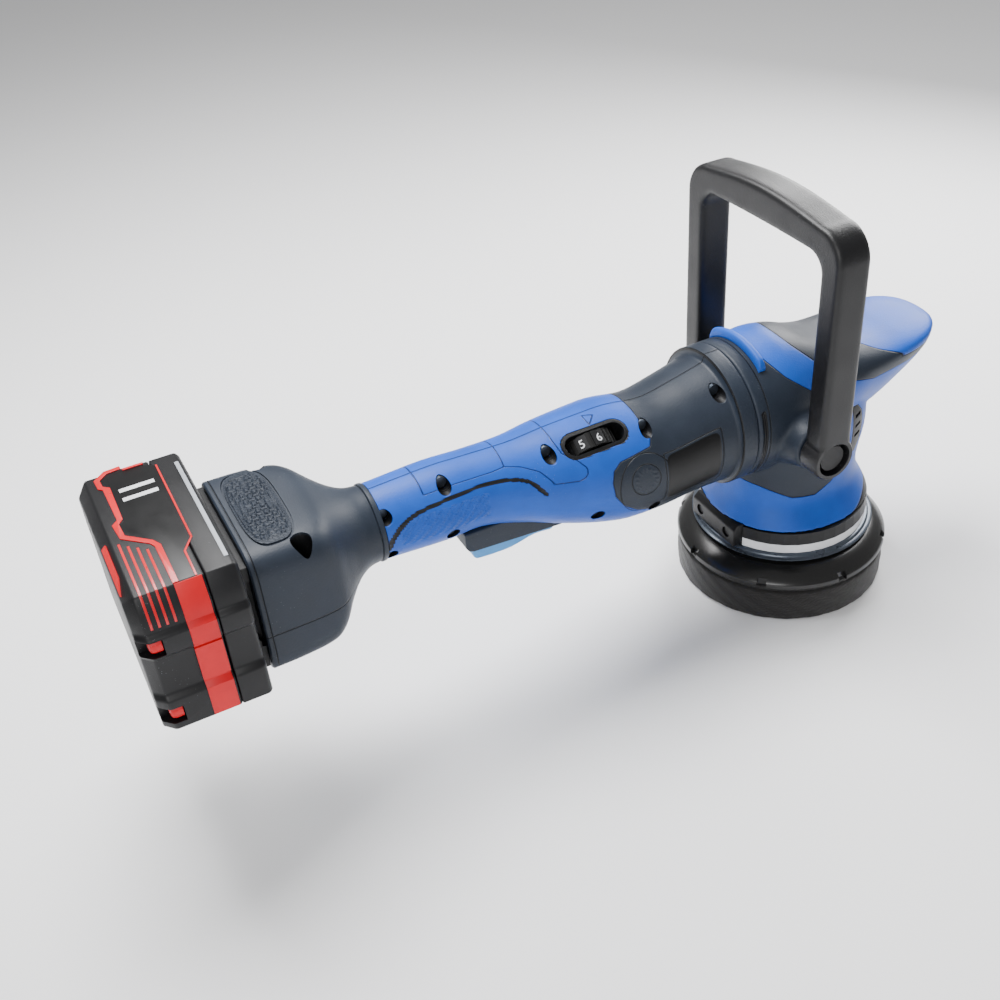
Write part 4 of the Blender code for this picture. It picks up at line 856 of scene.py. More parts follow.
@dataclass
class Head:
    """Bell, barrel, palm grip and bail bosses as one blended skin with its moulding lines."""
    bell: list[tuple[float, ...]] = field(default_factory=lambda: [
        (18.3, 49.2, 49.0, 48.4), (24.0, 47.0, 46.5, 43.6), (32.0, 43.4, 44.0, 37.6), (41.0, 42.6, 43.0,
            35.8),
        (51.0, 44.2, 43.0, 36.0), (62.0, 46.4, 43.0, 36.8), (76.0, 46.0, 42.0, 36.6), (90.0, 42.0, 40.0,
            33.0)])
    nose: list[tuple[float, ...]] = field(default_factory=lambda: [
        (-51.2, 129.1, 89.3, 49.5, 39.8, 2.0, 2.0), (-40.0, 129.3, 89.4, 49.6, 39.8, 2.0, 2.0),
        (-30.0, 130.0, 90.0, 50.0, 39.3, 2.05, 2.0), (-21.0, 130.6, 91.0, 52.0, 38.6, 2.1, 2.0),
        (-8.0, 128.0, 92.0, 56.0, 37.2, 2.15, 2.0), (5.0, 122.5, 95.0, 58.0, 35.8, 2.2, 1.9),
        (20.0, 117.0, 99.0, 59.0, 34.0, 2.3, 1.8), (33.0, 114.0, 102.5, 58.0, 32.5, 2.5, 1.6),
        (48.0, 113.0, 105.0, 58.0, 31.5, 2.7, 1.4), (62.0, 114.0, 107.5, 65.0, 30.5, 2.8, 1.3),
        (74.0, 114.5, 109.5, 77.0, 27.0, 2.6, 1.4), (83.0, 114.0, 111.0, 86.0, 20.5, 2.4, 1.6),
        (88.5, 113.0, 110.5, 93.5, 13.5, 2.2, 1.8), (91.5, 110.5, 108.5, 102.0, 6.5, 2.0, 2.0)])
    cover_line: list[tuple[float, float]] = field(default_factory=lambda: [
        (-25.0, 160.0), (-24.0, 138.0), (-15.0, 127.0), (0.0, 113.5), (14.0, 104.0), (32.0, 98.8),
        (60.0, 99.6), (85.0, 103.4), (110.0, 106.5)])
    casing_line: list[tuple[float, float]] = field(default_factory=lambda: [
        (-43.0, 160.0), (-42.0, 134.0), (-28.0, 118.0), (-13.0, 106.5), (5.6, 90.0), (14.0, 76.0),
        (17.0, 63.0), (14.0, 50.0), (6.0, 40.5), (-6.0, 35.4), (-20.0, 36.4), (-35.0, 44.0), (-60.0,
            52.5)])
    vent_outline: list[tuple[float, float]] = field(default_factory=lambda: [
        (18.6, 84.0), (24.0, 83.0), (28.0, 78.0), (29.0, 68.0), (28.0, 58.0), (24.5, 52.0), (19.0, 52.0)])
    voxel: float = 1.15
    bail_x: float = -19.7
    pivot_z: float = 115.2

    def build(self) -> None:
        """Make the skin, its slots and the finger stop."""
        skin = self.blended()
        self.slots(skin)
        self.regions(skin)
        finish_piece(skin, "body", HEAD_PLASTIC,
                     ["head_casing", "head_overmould", "palm_cover", "palm_disc", "side_vent_right",
                      "side_vent_left"])
        self.finger_stop()

    def blended(self) -> bpy.types.Object:
        """The union of bell, barrel and bosses, with soft blends between them.

        Returns:
            The skin.
        """
        work = bmesh.new()
        for part in (self.barrel(), self.bell_solid(), self.boss(-1), self.boss(1)):
            work.from_mesh(part.data)
            bpy.data.objects.remove(part, do_unlink=True)
        mesh = bpy.data.meshes.new("head_skin")
        work.to_mesh(mesh)
        work.free()
        skin = bpy.data.objects.new("head_skin", mesh)
        bpy.context.scene.collection.objects.link(skin)
        remesh = skin.modifiers.new("fuse", "REMESH")
        remesh.mode = "VOXEL"
        remesh.voxel_size = self.voxel * MM
        smooth = skin.modifiers.new("soften", "SMOOTH")
        smooth.factor = 0.5
        smooth.iterations = 9
        fix_modifiers(skin)
        skin.data.shade_smooth()
        return skin

    def barrel(self) -> bpy.types.Object:
        """Barrel and palm grip.

        Returns:
            The solid.
        """
        rings = []
        for x in np.linspace(-51.2, 91.5, 150):
            top, widest, bottom, half, upper, lower = smooth_row(self.nose, float(x))
            above = superellipse(96, upper)
            below = superellipse(96, lower)
            unit = np.where(above[:, 1:] >= 0, above, below)
            rise = np.where(unit[:, 1] >= 0, (top - widest) * unit[:, 1], (widest - bottom) * unit[:, 1])
            rings.append(np.stack([np.full(96, x), half * unit[:, 0], widest + rise + LIFT], 1))
        return loft("barrel", rings)

    def bell_solid(self) -> bpy.types.Object:
        """Bell over the pad.

        Returns:
            The solid.
        """
        rings = []
        for height in np.linspace(18.3, 90.0, 60):
            front, rear, half = smooth_row(self.bell, float(height))
            unit = superellipse(96, 2.15)
            reach = np.where(unit[:, 0] > 0, front, rear)
            rings.append(np.stack([reach * unit[:, 0], half * unit[:, 1], np.full(96, height + LIFT)], 1))
        return loft("bell", rings)

    def boss(self, side: int) -> bpy.types.Object:
        """Flared boss that carries the bail.

        Args:
            side: Sign of Y: -1 for the right side, 1 for the left.

        Returns:
            The solid.
        """
        profile = [(0.0, 28.0), (19.5, 28.0), (18.2, 34.0), (16.6, 39.0), (15.1, 43.5), (14.0, 48.0),
                   (13.2, 49.9), (0.0, 49.9)]
        return turned("boss", [(r, side * y) for r, y in profile], (self.bail_x, 0, self.pivot_z), "Y",
            72)

    def slots(self, skin: bpy.types.Object) -> None:
        """Hollow under the bell and the vent slots.

        Args:
            skin: The skin.
        """
        unit = superellipse(64, 2.15)
        hollow = loft("hollow", [np.stack([(f - 3.6) * unit[:, 0], (w - 3.6) * unit[:, 1],
                                           np.full(64, z)], 1)
                                 for z, f, w in ((45.0, 49.2, 48.4), (53.0, 49.0, 47.6),
                                     (58.0, 46.8, 43.4),
                                                 (66.0, 43.2, 37.6), (74.0, 42.0, 35.6))])
        tools = [hollow]
        for side in (-1, 1):
            for i in range(3):
                z = 97.5 + 6.2 * i
                tools.append(prism("slot", [(21.2, z), (26.4, z + 0.5), (26.4, z + 2.5), (21.2, z + 2.0)],
                    "Y",
                                   *sorted((side * 29.0, side * 45.0))))
        carve(skin, tools, sharp=48.0)

    def regions(self, skin: bpy.types.Object) -> None:
        """Work out which moulding each point belongs to, and how far the lines are.

        Args:
            skin: The skin.
        """
        p = points_of(skin)
        side = np.stack([p[:, 0], p[:, 2] - LIFT], 1)
        casing = inside_distance(side, self.casing_line + [(-75.0, 50.5), (-75.0, 160.0)])
        cover = inside_distance(side, self.cover_line + [(120.0, 160.0)])
        disc_plan = (1.0 - (np.abs((p[:, 0] - 62.5) / 33.0) ** 2.1 + np.abs(p[:,
            1] / 32.5) ** 2.1)) * 15.0
        rim = 139.7 + 0.05 * np.maximum(p[:, 0] - 60.0, 0.0)
        disc = np.minimum(disc_plan, p[:, 2] - rim)
        vent = np.where(np.abs(p[:, 1]) > 15, inside_distance(side, self.vent_outline), -9.0)
        angle = np.abs(np.degrees(np.arctan2(p[:, 1], p[:, 0])))
        step = np.clip((80.0 - angle) / 45.0, 0.0, 1.0)
        wave = 52.6 + 5.2 * step * step * (3 - 2 * step)
        hem = p[:, 2] - wave
        blue = np.maximum(np.minimum(-casing, -cover), disc)
        blue = np.minimum(blue, hem)
        turn = np.degrees(np.arctan2(np.abs(p[:, 1]), p[:, 2] - 123.3))
        slot = np.minimum(1.1 - np.abs(p[:, 0] + 46.8), (34.0 - np.abs(turn - 99.0)) * 0.69)
        black = np.maximum(np.maximum(vent, slot), np.minimum(-hem, 60.0 - p[:, 2]))
        store(skin, "blue", blue)
        store(skin, "black", black)
        store(skin, "casing", casing)
        store(skin, "joint", np.where(p[:, 2] > 95, p[:, 0] + 43.6, 9.0))
        store(skin, "relief", np.clip(slot, 0.0, 0.3) * -5.0)

    def finger_stop(self) -> None:
        """Rounded rib across the top of the head."""
        rings = []
        for a in np.radians(np.linspace(-34.5, 34.5, 61)):
            end = 1.0 - max(0.0, abs(math.degrees(a)) - 28.0) / 6.5
            tall = 1.0 + 4.4 * max(end, 0.0) ** 0.5
            unit = superellipse(24, 3.2)
            reach = 39.4 + (tall / 2) + unit[:, 1] * (tall / 2)
            x = -39.0 + 2.6 * unit[:, 0] * (0.72 + 0.28 * (1 - (unit[:, 1] + 1) / 2))
            rings.append(np.stack([x, reach * math.sin(a), 123.3 + reach * math.cos(a)], 1))
        finish_piece(loft("finger_rib", rings), "body", SOFT_BLUE, ["finger_stop"])


# ------------------------------------------------------------------ motor housing and handle

@dataclass
class Handle:
    """Motor housing and handle as one skin, with pockets, dial window and trigger opening."""
    seam_x: float = -51.5
    handle_x: float = -181.0
    collar_x: float = -262.0
    screws: list[tuple[float, float]] = field(default_factory=lambda: [
        (-224.0, 40.0), (-224.0, 118.0), (-166.4, 38.0), (-145.5, 117.0), (-111.0, 37.0), (-111.0, 121.0),
        (-66.0, 36.0), (-257.5, 54.0), (-257.5, 122.0)])
    blue_line: list[tuple[float, float]] = field(default_factory=lambda: [
        (-112.5, -2.0), (-112.0, 27.0), (-110.2, 45.0), (-112.5, 53.0), (-122.0, 56.5), (-132.0, 60.0),
        (-136.5, 67.0), (-138.2, 78.0), (-137.2, 92.0), (-132.0, 105.0), (-123.0, 116.0), (-113.0, 124.0),
        (-108.5, 140.0), (-107.0, 182.0)])
    ribbon: list[tuple[float, float]] = field(default_factory=lambda: [
        (-259.0, 104.0), (-256.5, 88.0), (-252.0, 75.0), (-247.0, 66.5), (-240.5, 61.0), (-230.0, 58.2),
        (-217.0, 56.3), (-200.9, 54.9), (-193.0, 55.0), (-188.2, 56.2), (-183.7, 59.0), (-180.5, 62.5),
        (-178.0, 68.0), (-176.0, 74.3), (-173.8, 80.0)])
    panels: list[list[tuple[float, float]]] = field(default_factory=lambda: [
        [(-235.7, -3.0), (-235.5, 41.5), (-217.7, 41.3), (-208.9, 41.9), (-198.0, 40.5), (-190.6, 36.9),
         (-190.0, -3.0)],
        [(-161.8, -3.0), (-161.3, 25.1), (-160.0, 39.4), (-154.3, 48.3), (-149.8, 58.7), (-150.2, 64.0),
         (-151.9, 67.6), (-155.3, 70.2), (-168.8, 69.8), (-169.1, 66.8), (-174.0, 53.0), (-182.8, 41.8),
         (-190.6, 36.9), (-190.0, -3.0)]])
    dial: tuple[float, float, float] = (-140.0, -9.944, 135.973)
    tilt: float = 33.0
    arc: float = 0.55                # millimetres along the surface to a degree round the body

    def row(self, x: float) -> tuple[float, float]:
        """Height of the centre and radius of the body at x.

        Args:
            x: Place along the tool.

        Returns:
            The height and the radius.
        """
        if x > self.seam_x - 9.5:
            return 89.3 + LIFT, 39.8
        h, s = self.handle_x, self.seam_x
        table = [(self.collar_x - 27, 98.4, 20.0), (self.collar_x, 98.0, 20.0), (h - 44.55, 97.7, 21.5),
                 (h - 24.3, 97.4, 20.9), (h, 93.4, 24.0), (h + 20.0, 90.0, 28.8), (h + 40.0, 86.8, 32.6),
                 (h + 57.0, 84.8, 34.6), (s - 50.5, 82.8, 33.6), (s - 28.5, 85.8, 34.5), (s - 10.7, 88.2,
                     36.3)]
        centre, radius = smooth_row(table, x)
        return centre + LIFT, radius

    def build(self) -> None:
        """Make the skin and what sits in it."""
        skin = self.skin()
        self.regions(skin)
        finish_piece(skin, "body", BODY_PLASTIC,
                     ["motor_housing_right", "motor_housing_left", "grip_overmould_right",
                      "grip_overmould_left"])
        collar = turned("collar_band", [(17.6, -258.9), (20.0, -258.9), (20.5, -259.3), (20.7, -260.1),
                                        (20.7, -261.3), (20.3, -261.7), (17.6,
                                            -261.7)], (0, 0, 132.0), "X")
        finish_piece(collar, "body", NYLON, ["collar_ring"])
        self.sticker()
        self.neck_screws()
        dress(DARK_STEEL, *[f"housing_screw_{i}" for i in range(1, 8)])

    def skin(self) -> bpy.types.Object:
        """The outer skin with its openings.

        Returns:
            The skin.
        """
        xs = list(np.linspace(self.collar_x + 3.3, self.seam_x - 10.9, 176))
        rings = []
        for x in xs:
            rings.append(self.ring(x, *self.row(x)))
        for x, radius in ((-61.9, 36.45), (-61.3, 37.2), (-61.0, 38.4), (-60.9, 39.3), (-60.5, 39.7),
                          (-59.9, 39.8), (-57.0, 39.8), (-54.0, 39.8), (-52.4, 39.8), (-51.9, 39.65),
                          (-51.6, 39.3)):
            rings.append(self.ring(x, 123.3 - (39.8 - radius) * 0.25, radius))
        skin = loft("body_skin", rings)
        tools = [self.pocket(x, a) for x, a in self.screws]
        tools.append(self.window())
        low, high = -216.2, -157.3
        tools.append(prism("chamber", [(low, -14.3), (high, -14.3), (high, 14.3), (low, 14.3)], "Z", 60.0,
            113.8))
        carve(skin, tools)
        wheel_room = turned("wheel_room", [(0.0, -4.9), (16.4, -4.9), (16.4, 4.9), (0.0, 4.9)], (0, 0, 0),
            "Z", 72)
        wheel_room.data.transform(Matrix.Translation(Vector(self.dial) * MM)
                                  @ Matrix.Rotation(math.radians(self.tilt - 90.0), 4, "X"))
        carve(skin, [wheel_room])
        return skin

    def ring(self, x: float, centre: float, radius: float) -> Array:
        """One round section.

        Args:
            x: Place along the tool.
            centre: Height of the section's centre.
            radius: The section's radius.

        Returns:
            The section's points.
        """
        a = np.linspace(0.0, math.tau, 168, endpoint=False)
        return np.stack([np.full(len(a), x), -radius * np.sin(a), centre + radius * np.cos(a)], 1)

    def site(self, x: float, angle: float) -> tuple[float, float]:
        """Where a screw's axis meets the surface.

        Args:
            x: Place along the tool.
            angle: Angle in degrees from the top towards the right side.

        Returns:
            Y and Z of the place.
        """
        centre, radius = self.row(x)
        return -radius * math.sin(math.radians(angle)), centre + radius * math.cos(math.radians(angle))

    def pocket(self, x: float, angle: float) -> bpy.types.Object:
        """Round screw pocket.

        Args:
            x: Place along the tool.
            angle: Angle in degrees from the top towards the right side.

        Returns:
            The cutter.
        """
        y, z = self.site(x, angle)
        return turned("pocket", [(0.0, y - 14.0), (3.7, y - 14.0), (3.7, y + 7.3), (0.0, y + 7.3)],
                      (x, 0, z), "Y", 40)

    def window(self) -> bpy.types.Object:
        """Stadium opening for the dial.

        Returns:
            The cutter.
        """
        outline = []
        for side in (-1, 1):
            for i in range(13):
                a = math.radians((-90 if side > 0 else 90) + 15 * i)
                outline.append((side * 11.5 + 5.5 * math.cos(a), 5.5 * math.sin(a)))
        tool = prism("window", outline, "Z", 0.0, 27.0)
        tool.data.transform(Matrix.Translation(Vector(self.dial) * MM)
                            @ Matrix.Rotation(math.radians(self.tilt), 4, "X"))
        return tool

    def regions(self, skin: bpy.types.Object) -> None:
        """Mouldings, lines, raised ribs and painted shade inside the screw pockets, from each point's
        place round the body.

        Args:
            skin: The skin.
        """
        p = points_of(skin)
        centre = np.array([self.row(float(x))[0] for x in p[:, 0]])
        angle = np.degrees(np.arctan2(-p[:, 1], p[:, 2] - centre))
        reach = np.hypot(p[:, 1], p[:, 2] - centre)
        outer = np.array([self.row(float(x))[1] for x in p[:, 0]])
        # points sunk inside the screw pockets; their walls get painted shade (black) below
        sunk = reach < outer - 0.4
        scale = self.arc
        near = np.stack([p[:, 0], angle * scale], 1)
        both = np.stack([p[:, 0], np.abs(angle) * scale], 1)
        blue = inside_distance(both, self.unrolled(self.blue_line) + [(-300.0, 182.0 * scale),
            (-300.0, -2.0 * scale)])
        ribbon = 1.15 - line_distance(both, self.unrolled(self.ribbon))
        plate = np.minimum(17.4 - np.abs(p[:, 0] + 88.5), (27.2 - np.abs(angle - 90.0)) * 0.6)
        bars = np.sin((p[:, 0] + 0.35 * (np.abs(angle) - 85.0) + 250.0) * math.tau / 5.9)
        hand = np.clip(np.minimum(np.minimum(p[:, 0] + 252.0, -203.0 - p[:, 0]),
                                  (19.5 - np.abs(np.abs(angle) - 86.0)) * scale), 0.0, 1.0)
        ring = 9.0 - np.hypot(p[:, 0] + 118.7, (angle - 82.0) * 0.6)
        turn = np.arctan2((angle - 82.0) * 0.6, p[:, 0] + 118.7)
        ticks = 0.22 * np.clip(np.sin(turn * 16) * 3, 0, 1) * np.clip(np.minimum(ring - 1.2, 4.6 - ring),
            0, 1)
        tilt = math.radians(self.tilt)
        along = (p[:, 1] - self.dial[1]) * math.cos(tilt) + (p[:, 2] - self.dial[2]) * math.sin(tilt)
        above = (p[:, 2] - self.dial[2]) * math.cos(tilt) - (p[:, 1] - self.dial[1]) * math.sin(tilt) > 0
        bezel = 7.4 - np.hypot(np.maximum(np.abs(p[:, 0] - self.dial[0]) - 11.5, 0.0), along)
        bezel = np.where(above, bezel, -9.0)
        # painted shade: black inside the deep screw pockets; elsewhere the real black bezel and ribbon
        # mouldings
        inner = np.where(sunk, 1.0, np.maximum(np.maximum(bezel, ribbon), -0.06))
        lines = {"parting": p[:, 1], "plate": plate, "ring": ring, "bezel": bezel,
                 "lobe": 1.0 - np.hypot((p[:, 0] + 118.0) / 16.6, (angle - 88.0) / 31.0),
                 "mark": inside_distance(near, self.unrolled([(-139.3, 4.6), (-133.7, 8.4),
                     (-138.9, 18.9)])),
                 "panel": inside_distance(both, self.unrolled(self.panels[0])),
                 "step": inside_distance(both, self.unrolled(self.panels[1]))}
        lines["lobe"] = lines["lobe"] * 16.6
        for name, value in lines.items():
            store(skin, name, np.where(sunk, 9.0, value))
        relief = hand * 0.45 * np.clip(bars * 1.6, -1, 1) + ticks + np.clip(ribbon, 0, 0.4) * -0.8
        relief = relief + np.where(plate > 0, -0.3, 0.0)
        # inside the pockets blue is taken off and the black painted shade is stored instead
        store(skin, "blue", np.where(sunk & (blue > 0), -0.2, blue))
        store(skin, "black", inner)
        store(skin, "relief", np.where(sunk, 0.0, relief))

    def unrolled(self, line: Sequence[tuple[float, float]]) -> list[tuple[float, float]]:
        """A line of (x, angle) points laid flat in millimetres.

        Args:
            line: The line's corners.

        Returns:
            The flat points.
        """
        return [(x, angle * self.arc) for x, angle in line]

    def sticker(self) -> None:
        """Plain black sticker on the flank, with rounded corners."""
        unit = even_loop(superellipse(360, 9.0), 200)
        rings = []
        for share in np.linspace(1.0, 0.02, 24):
            x = -88.5 + 16.2 * unit[:, 0] * share
            angle = np.radians(90.0 + 25.0 * unit[:, 1] * share)
            centre, radius = np.array([self.row(float(v)) for v in x]).T
            lift = 0.22 if share < 0.99 else 0.0
            rings.append(np.stack([x, -(radius + lift) * np.sin(angle),
                centre + (radius + lift) * np.cos(angle)], 1))
        finish_piece(loft("flank_sticker", rings), "body", LABEL)

    def neck_screws(self) -> None:
        """Screw heads in the two pockets beside the collar."""
        for i, (x, angle) in enumerate(self.screws[-2:], 1):
            y, z = self.site(x, angle)
            head = turned(f"neck_screw_{i}", [(0.0, y + 4.6), (2.6, y + 4.6), (3.1, y + 5.0),
                (3.1, y + 7.6), (0.0, y + 7.6)],
                          (x, 0, z), "Y", 32)
            finish_piece(head, "body", DARK_STEEL)


# ------------------------------------------------------------------ controls

@dataclass
class Controls:
    """Speed dial with its numbers, and the trigger in its surround."""
    dial: tuple[float, float, float] = (-140.0, -9.944, 135.973)
    tilt: float = 33.0
    radius: float = 15.5

    def build(self) -> None:
        """Make the pieces."""
        dress(GLOSS, "speed_dial")
        self.numbers()
        self.trigger()
        dress(BLACK, "switch_body")
        dress(BOARD, "control_module")

    def numbers(self) -> None:
        """Numbers on a plain band round the wheel."""
        frame_of_dial = (Matrix.Translation(Vector(self.dial) * MM)
                         @ Matrix.Rotation(math.radians(self.tilt - 90.0), 4, "X"))
        for k in range(1, 7):
            text = bpy.data.curves.new(f"digit_{k}", "FONT")
            text.body = str(k)
            text.size = 6.4 * MM
            text.extrude = 0.06 * MM
            text.align_x = "CENTER"
            text.align_y = "CENTER"
            holder = bpy.data.objects.new("holder", text)
            bpy.context.scene.collection.objects.link(holder)
            graph = bpy.context.evaluated_depsgraph_get()
            mesh = bpy.data.meshes.new_from_object(holder.evaluated_get(graph))
            bpy.data.objects.remove(holder, do_unlink=True)
            digit = bpy.data.objects.new(f"dial_number_{k}", mesh)
            bpy.context.scene.collection.objects.link(digit)
            place = (Matrix.Rotation(math.radians((k - 5.81) * 36.4), 4, "Z")
                     @ Matrix.Translation((0, (0 - self.radius - 0.20) * MM, -0.6 * MM))
                     @ Matrix.Rotation(math.radians(90), 4, "X"))
            digit.data.transform(frame_of_dial @ place)
            finish_piece(digit, "dial", WHITE_PRINT)
            angles = [math.radians((k - 5.81) * 36.4 - 90.0 + step) for step in range(-12, 13, 3)]
            arc = [((self.radius + 0.12) * math.cos(a),
                (self.radius + 0.12) * math.sin(a)) for a in angles]
            arc += [((self.radius - 1.5) * math.cos(a),
                (self.radius - 1.5) * math.sin(a)) for a in reversed(angles)]
            band = prism(f"dial_band_{k}", arc, "Z", -3.9, 3.9)
            band.data.transform(frame_of_dial)
            finish_piece(band, "dial", BLACK)

    def trigger(self) -> None:
        """Lever with rounded edges and a finger hollow, and the surround."""
        top = [(-210.5, 108.3), (-210.5, 92.8), (-208.5, 91.6), (-200.5, 90.8), (-194.0, 90.6),
            (-188.5, 90.8),
               (-183.0, 91.8), (-178.5, 93.0), (-174.0, 93.6), (-170.0, 93.5), (-165.0, 92.8), (-162.5,
                   93.2),
               (-162.5, 104.5), (-168.5, 108.3)]
        lever = prism("trigger_lever", top, "Y", -9.9, 9.9, bevel=1.6)
        finish_piece(lever, "trigger", PALE, ["trigger"])
        outline = [(-216.0, 113.5), (-216.0, 104.5), (-214.5, 102.0), (-212.0, 101.0), (-160.0, 97.5),
            (-157.5, 99.0),
                   (-157.5, 113.5)]
        frame_piece = prism("trigger_frame", outline, "Y", -14.0, 14.0, bevel=0.8)
        slot = prism("slot", [(-211.5, -10.6), (-161.3, -10.6), (-161.3, 10.6), (-211.5, 10.6)], "Z",
            80.0, 124.0)
        carve(frame_piece, [slot])
        finish_piece(frame_piece, "body", NYLON, ["trigger_surround"])


# ------------------------------------------------------------------ bail

@dataclass
class Bail:
    """Arched handle with rounded edges and open recesses at its pivots."""
    x: float = -19.7
    pivot: float = 115.2
    half: float = 64.2
    arm: float = 14.0
    depth: float = 20.0
    rise: float = 130.5
    crown: float = 4.5
    bar: float = 19.0
    corner: float = 17.0

    def build(self) -> None:
        """Make the handle and dress its bolts."""
        outer = self.arch(self.half, self.pivot + self.rise, self.corner, self.crown)
        inner = self.arch(self.half - self.arm, self.pivot + self.rise + self.crown - self.bar,
            self.corner - 6.0, 0.4)
        unit = even_loop(superellipse(160, 7.0, math.pi / 160), 56)
        rings = []
        for (y1, z1), (y0, z0) in zip(outer, inner):
            t = (unit[:, 1] + 1) / 2
            rings.append(np.stack([self.x + unit[:, 0] * self.depth / 2, y0 + (y1 - y0) * t,
                z0 + (z1 - z0) * t], 1))
        handle = loft("bail_grip", rings, sharp=50.0)
        for side in (-1, 1):
            ends = [turned("end", [(0.0, side * y) if r == 0 else (r, side * y) for r, y in
                                   ((0, 50.35), (11.8, 50.35), (12.6, 51.2), (12.6, 63.0), (11.8, 64.05),
                                       (0, 64.05))],
                           (self.x, 0, self.pivot), "Y", 72)]
            carve(handle, ends, "UNION")
            hole = [turned("hole", [(0.0, side * y) if r == 0 else (r, side * y) for r, y in
                                    ((0, 57.2), (9.6, 57.2), (9.6, 63.2), (10.3, 66.0), (0, 66.0))],
                           (self.x, 0, self.pivot), "Y", 64)]
            carve(handle, hole, sharp=40.0)
            bore = [turned("bore", [(0.0, side * 48.0), (5.3, side * 48.0), (5.3, side * 58.0),
                (0.0, side * 58.0)],
                           (self.x, 0, self.pivot), "Y", 48)]
            carve(handle, bore, sharp=40.0)
        finish_piece(handle, "bail", BAIL_BLACK, ["bail_handle"])
        dress(BLACK, "bail_bolt_right", "bail_bolt_left")

    def arch(self, half: float, height: float, corner: float, crown: float) -> list[tuple[float, float]]:
        """Points from the +Y foot over the arch to the -Y foot.

        Args:
            half: Half the width over the arms.
            height: Height of the bar's face.
            corner: Radius of the bar's corners.
            crown: Rise of the bar at its middle.

        Returns:
            The points.
        """
        foot = [(half, self.pivot + (height - corner - self.pivot) * i / 10) for i in range(10)]
        bend = [(half - corner + corner * math.cos(a), height - corner + corner * math.sin(a))
                for a in np.radians(np.linspace(0, 90, 17))]
        bar = [((half - corner) * (1 - i / 14),
            height + crown * math.sin(math.pi / 2 * i / 14)) for i in range(1, 15)]
        side = foot + bend + bar
        return side + [(-y, z) for y, z in side[-2::-1]]


# ------------------------------------------------------------------ rear housing

@dataclass
class RearHousing:
    """Housing behind the handle, with its pad, pockets and parting line."""
    rows: list[tuple[float, ...]] = field(default_factory=lambda: [
        (-331.0, 129.5, 41.0, 35.5, 7.0), (-313.0, 129.5, 40.8, 35.4, 6.6), (-297.0, 129.6, 39.8, 34.6,
            5.6),
        (-290.0, 130.3, 37.4, 32.6, 4.2), (-283.0, 131.6, 31.2, 27.6, 3.0), (-276.0, 132.0, 25.4, 23.6,
            2.3),
        (-269.0, 132.0, 21.6, 21.0, 2.0), (-262.0, 132.0, 20.0, 20.0, 2.0)])

    def build(self) -> None:
        """Make the shell, the thumb pad and dress the shoe."""
        rings = []
        for x in [-331.0, -330.7, -330.2] + list(np.linspace(-329.0, -262.0, 60)):
            centre, wide, tall, exponent = smooth_row(self.rows, float(x))
            trim = 0.6 * max(0.0, (-330.2 - x) / 0.8)
            unit = superellipse(120, exponent)
            rings.append(np.stack([np.full(120, x), (wide - trim) * unit[:, 0],
                centre + (tall - trim) * unit[:, 1]], 1))
        shell = loft("rear_shell", rings)
        tools = []
        for side in (-1, 1):
            outline = [(-304.0 + 4.9 * math.cos(a) * (1.0 - 0.18 * math.sin(a)),
                side * (34.4 + 5.0 * math.sin(a)))
                       for a in np.linspace(0, math.tau, 40, endpoint=False)]
            tools.append(prism("pocket", outline, "Z", 146.0, 175.0))
        carve(shell, tools)
        unit = superellipse(64, 3.2)
        carve(shell, [prism("recess", [(-314.0 + 12.2 * u, 32.2 * v) for u, v in unit], "Z", 163.6,
            170.0)])
        p = points_of(shell)
        # points on the floors of the deep pockets, painted black below as painted shade
        sunk = (np.abs(np.abs(p[:, 1]) - 34.4) < 5.1) & (np.abs(p[:, 0] + 304) < 5.8) & (np.abs(p[:,
            2] - 146.0) < 0.5)
        store(shell, "seam", np.where(p[:, 0] < -276.0, p[:, 2] - 120.0, 9.0))
        store(shell, "lip", p[:, 0] + 328.3)
        # painted shade: the pocket floors are painted black; the rest of the shell stays slate
        store(shell, "black", np.where(sunk, 1.0, -0.06))
        store(shell, "relief", np.zeros(len(p)))
        finish_piece(shell, "body", REAR_PLASTIC, ["rear_housing_top", "rear_housing_bottom"])
        self.thumb_pad()
        dress(BLACK, "battery_shoe")
        dress(BRASS, "terminal_block")

    def thumb_pad(self) -> None:
        """Oval pad with a woven relief."""
        count, depth = 120, 60
        unit = superellipse(count, 3.2)
        rings = [np.stack([-314.0 + 11.0 * unit[:, 0], 31.0 * unit[:, 1], np.full(count, 162.8)], 1)]
        for share in np.linspace(1.0, 0.01, depth):
            x = -314.0 + 11.0 * unit[:, 0] * share
            y = 31.0 * unit[:, 1] * share
            cell = 3.1
            i, j = np.floor(x / cell), np.floor(y / cell)
            fx, fy = x / cell - i, y / cell - j
            bar = np.where((i + j) % 2 == 0, np.abs(fx - 0.5), np.abs(fy - 0.5))
            weave = 0.75 * np.clip(1.0 - (bar / 0.36) ** 4, 0.0, 1.0)
            edge = np.clip((1.0 - share) / 0.10, 0.0, 1.0)
            dome = 164.9 + 0.25 * edge
            rings.append(np.stack([x, y, dome + weave * np.where(share < 0.90, 1.0, 0.0) - 0.35], 1))
        pad = loft("grip_pad", rings, sharp=60.0)
        finish_piece(pad, "body", RUBBER, ["thumb_pad"])


# ------------------------------------------------------------------ battery

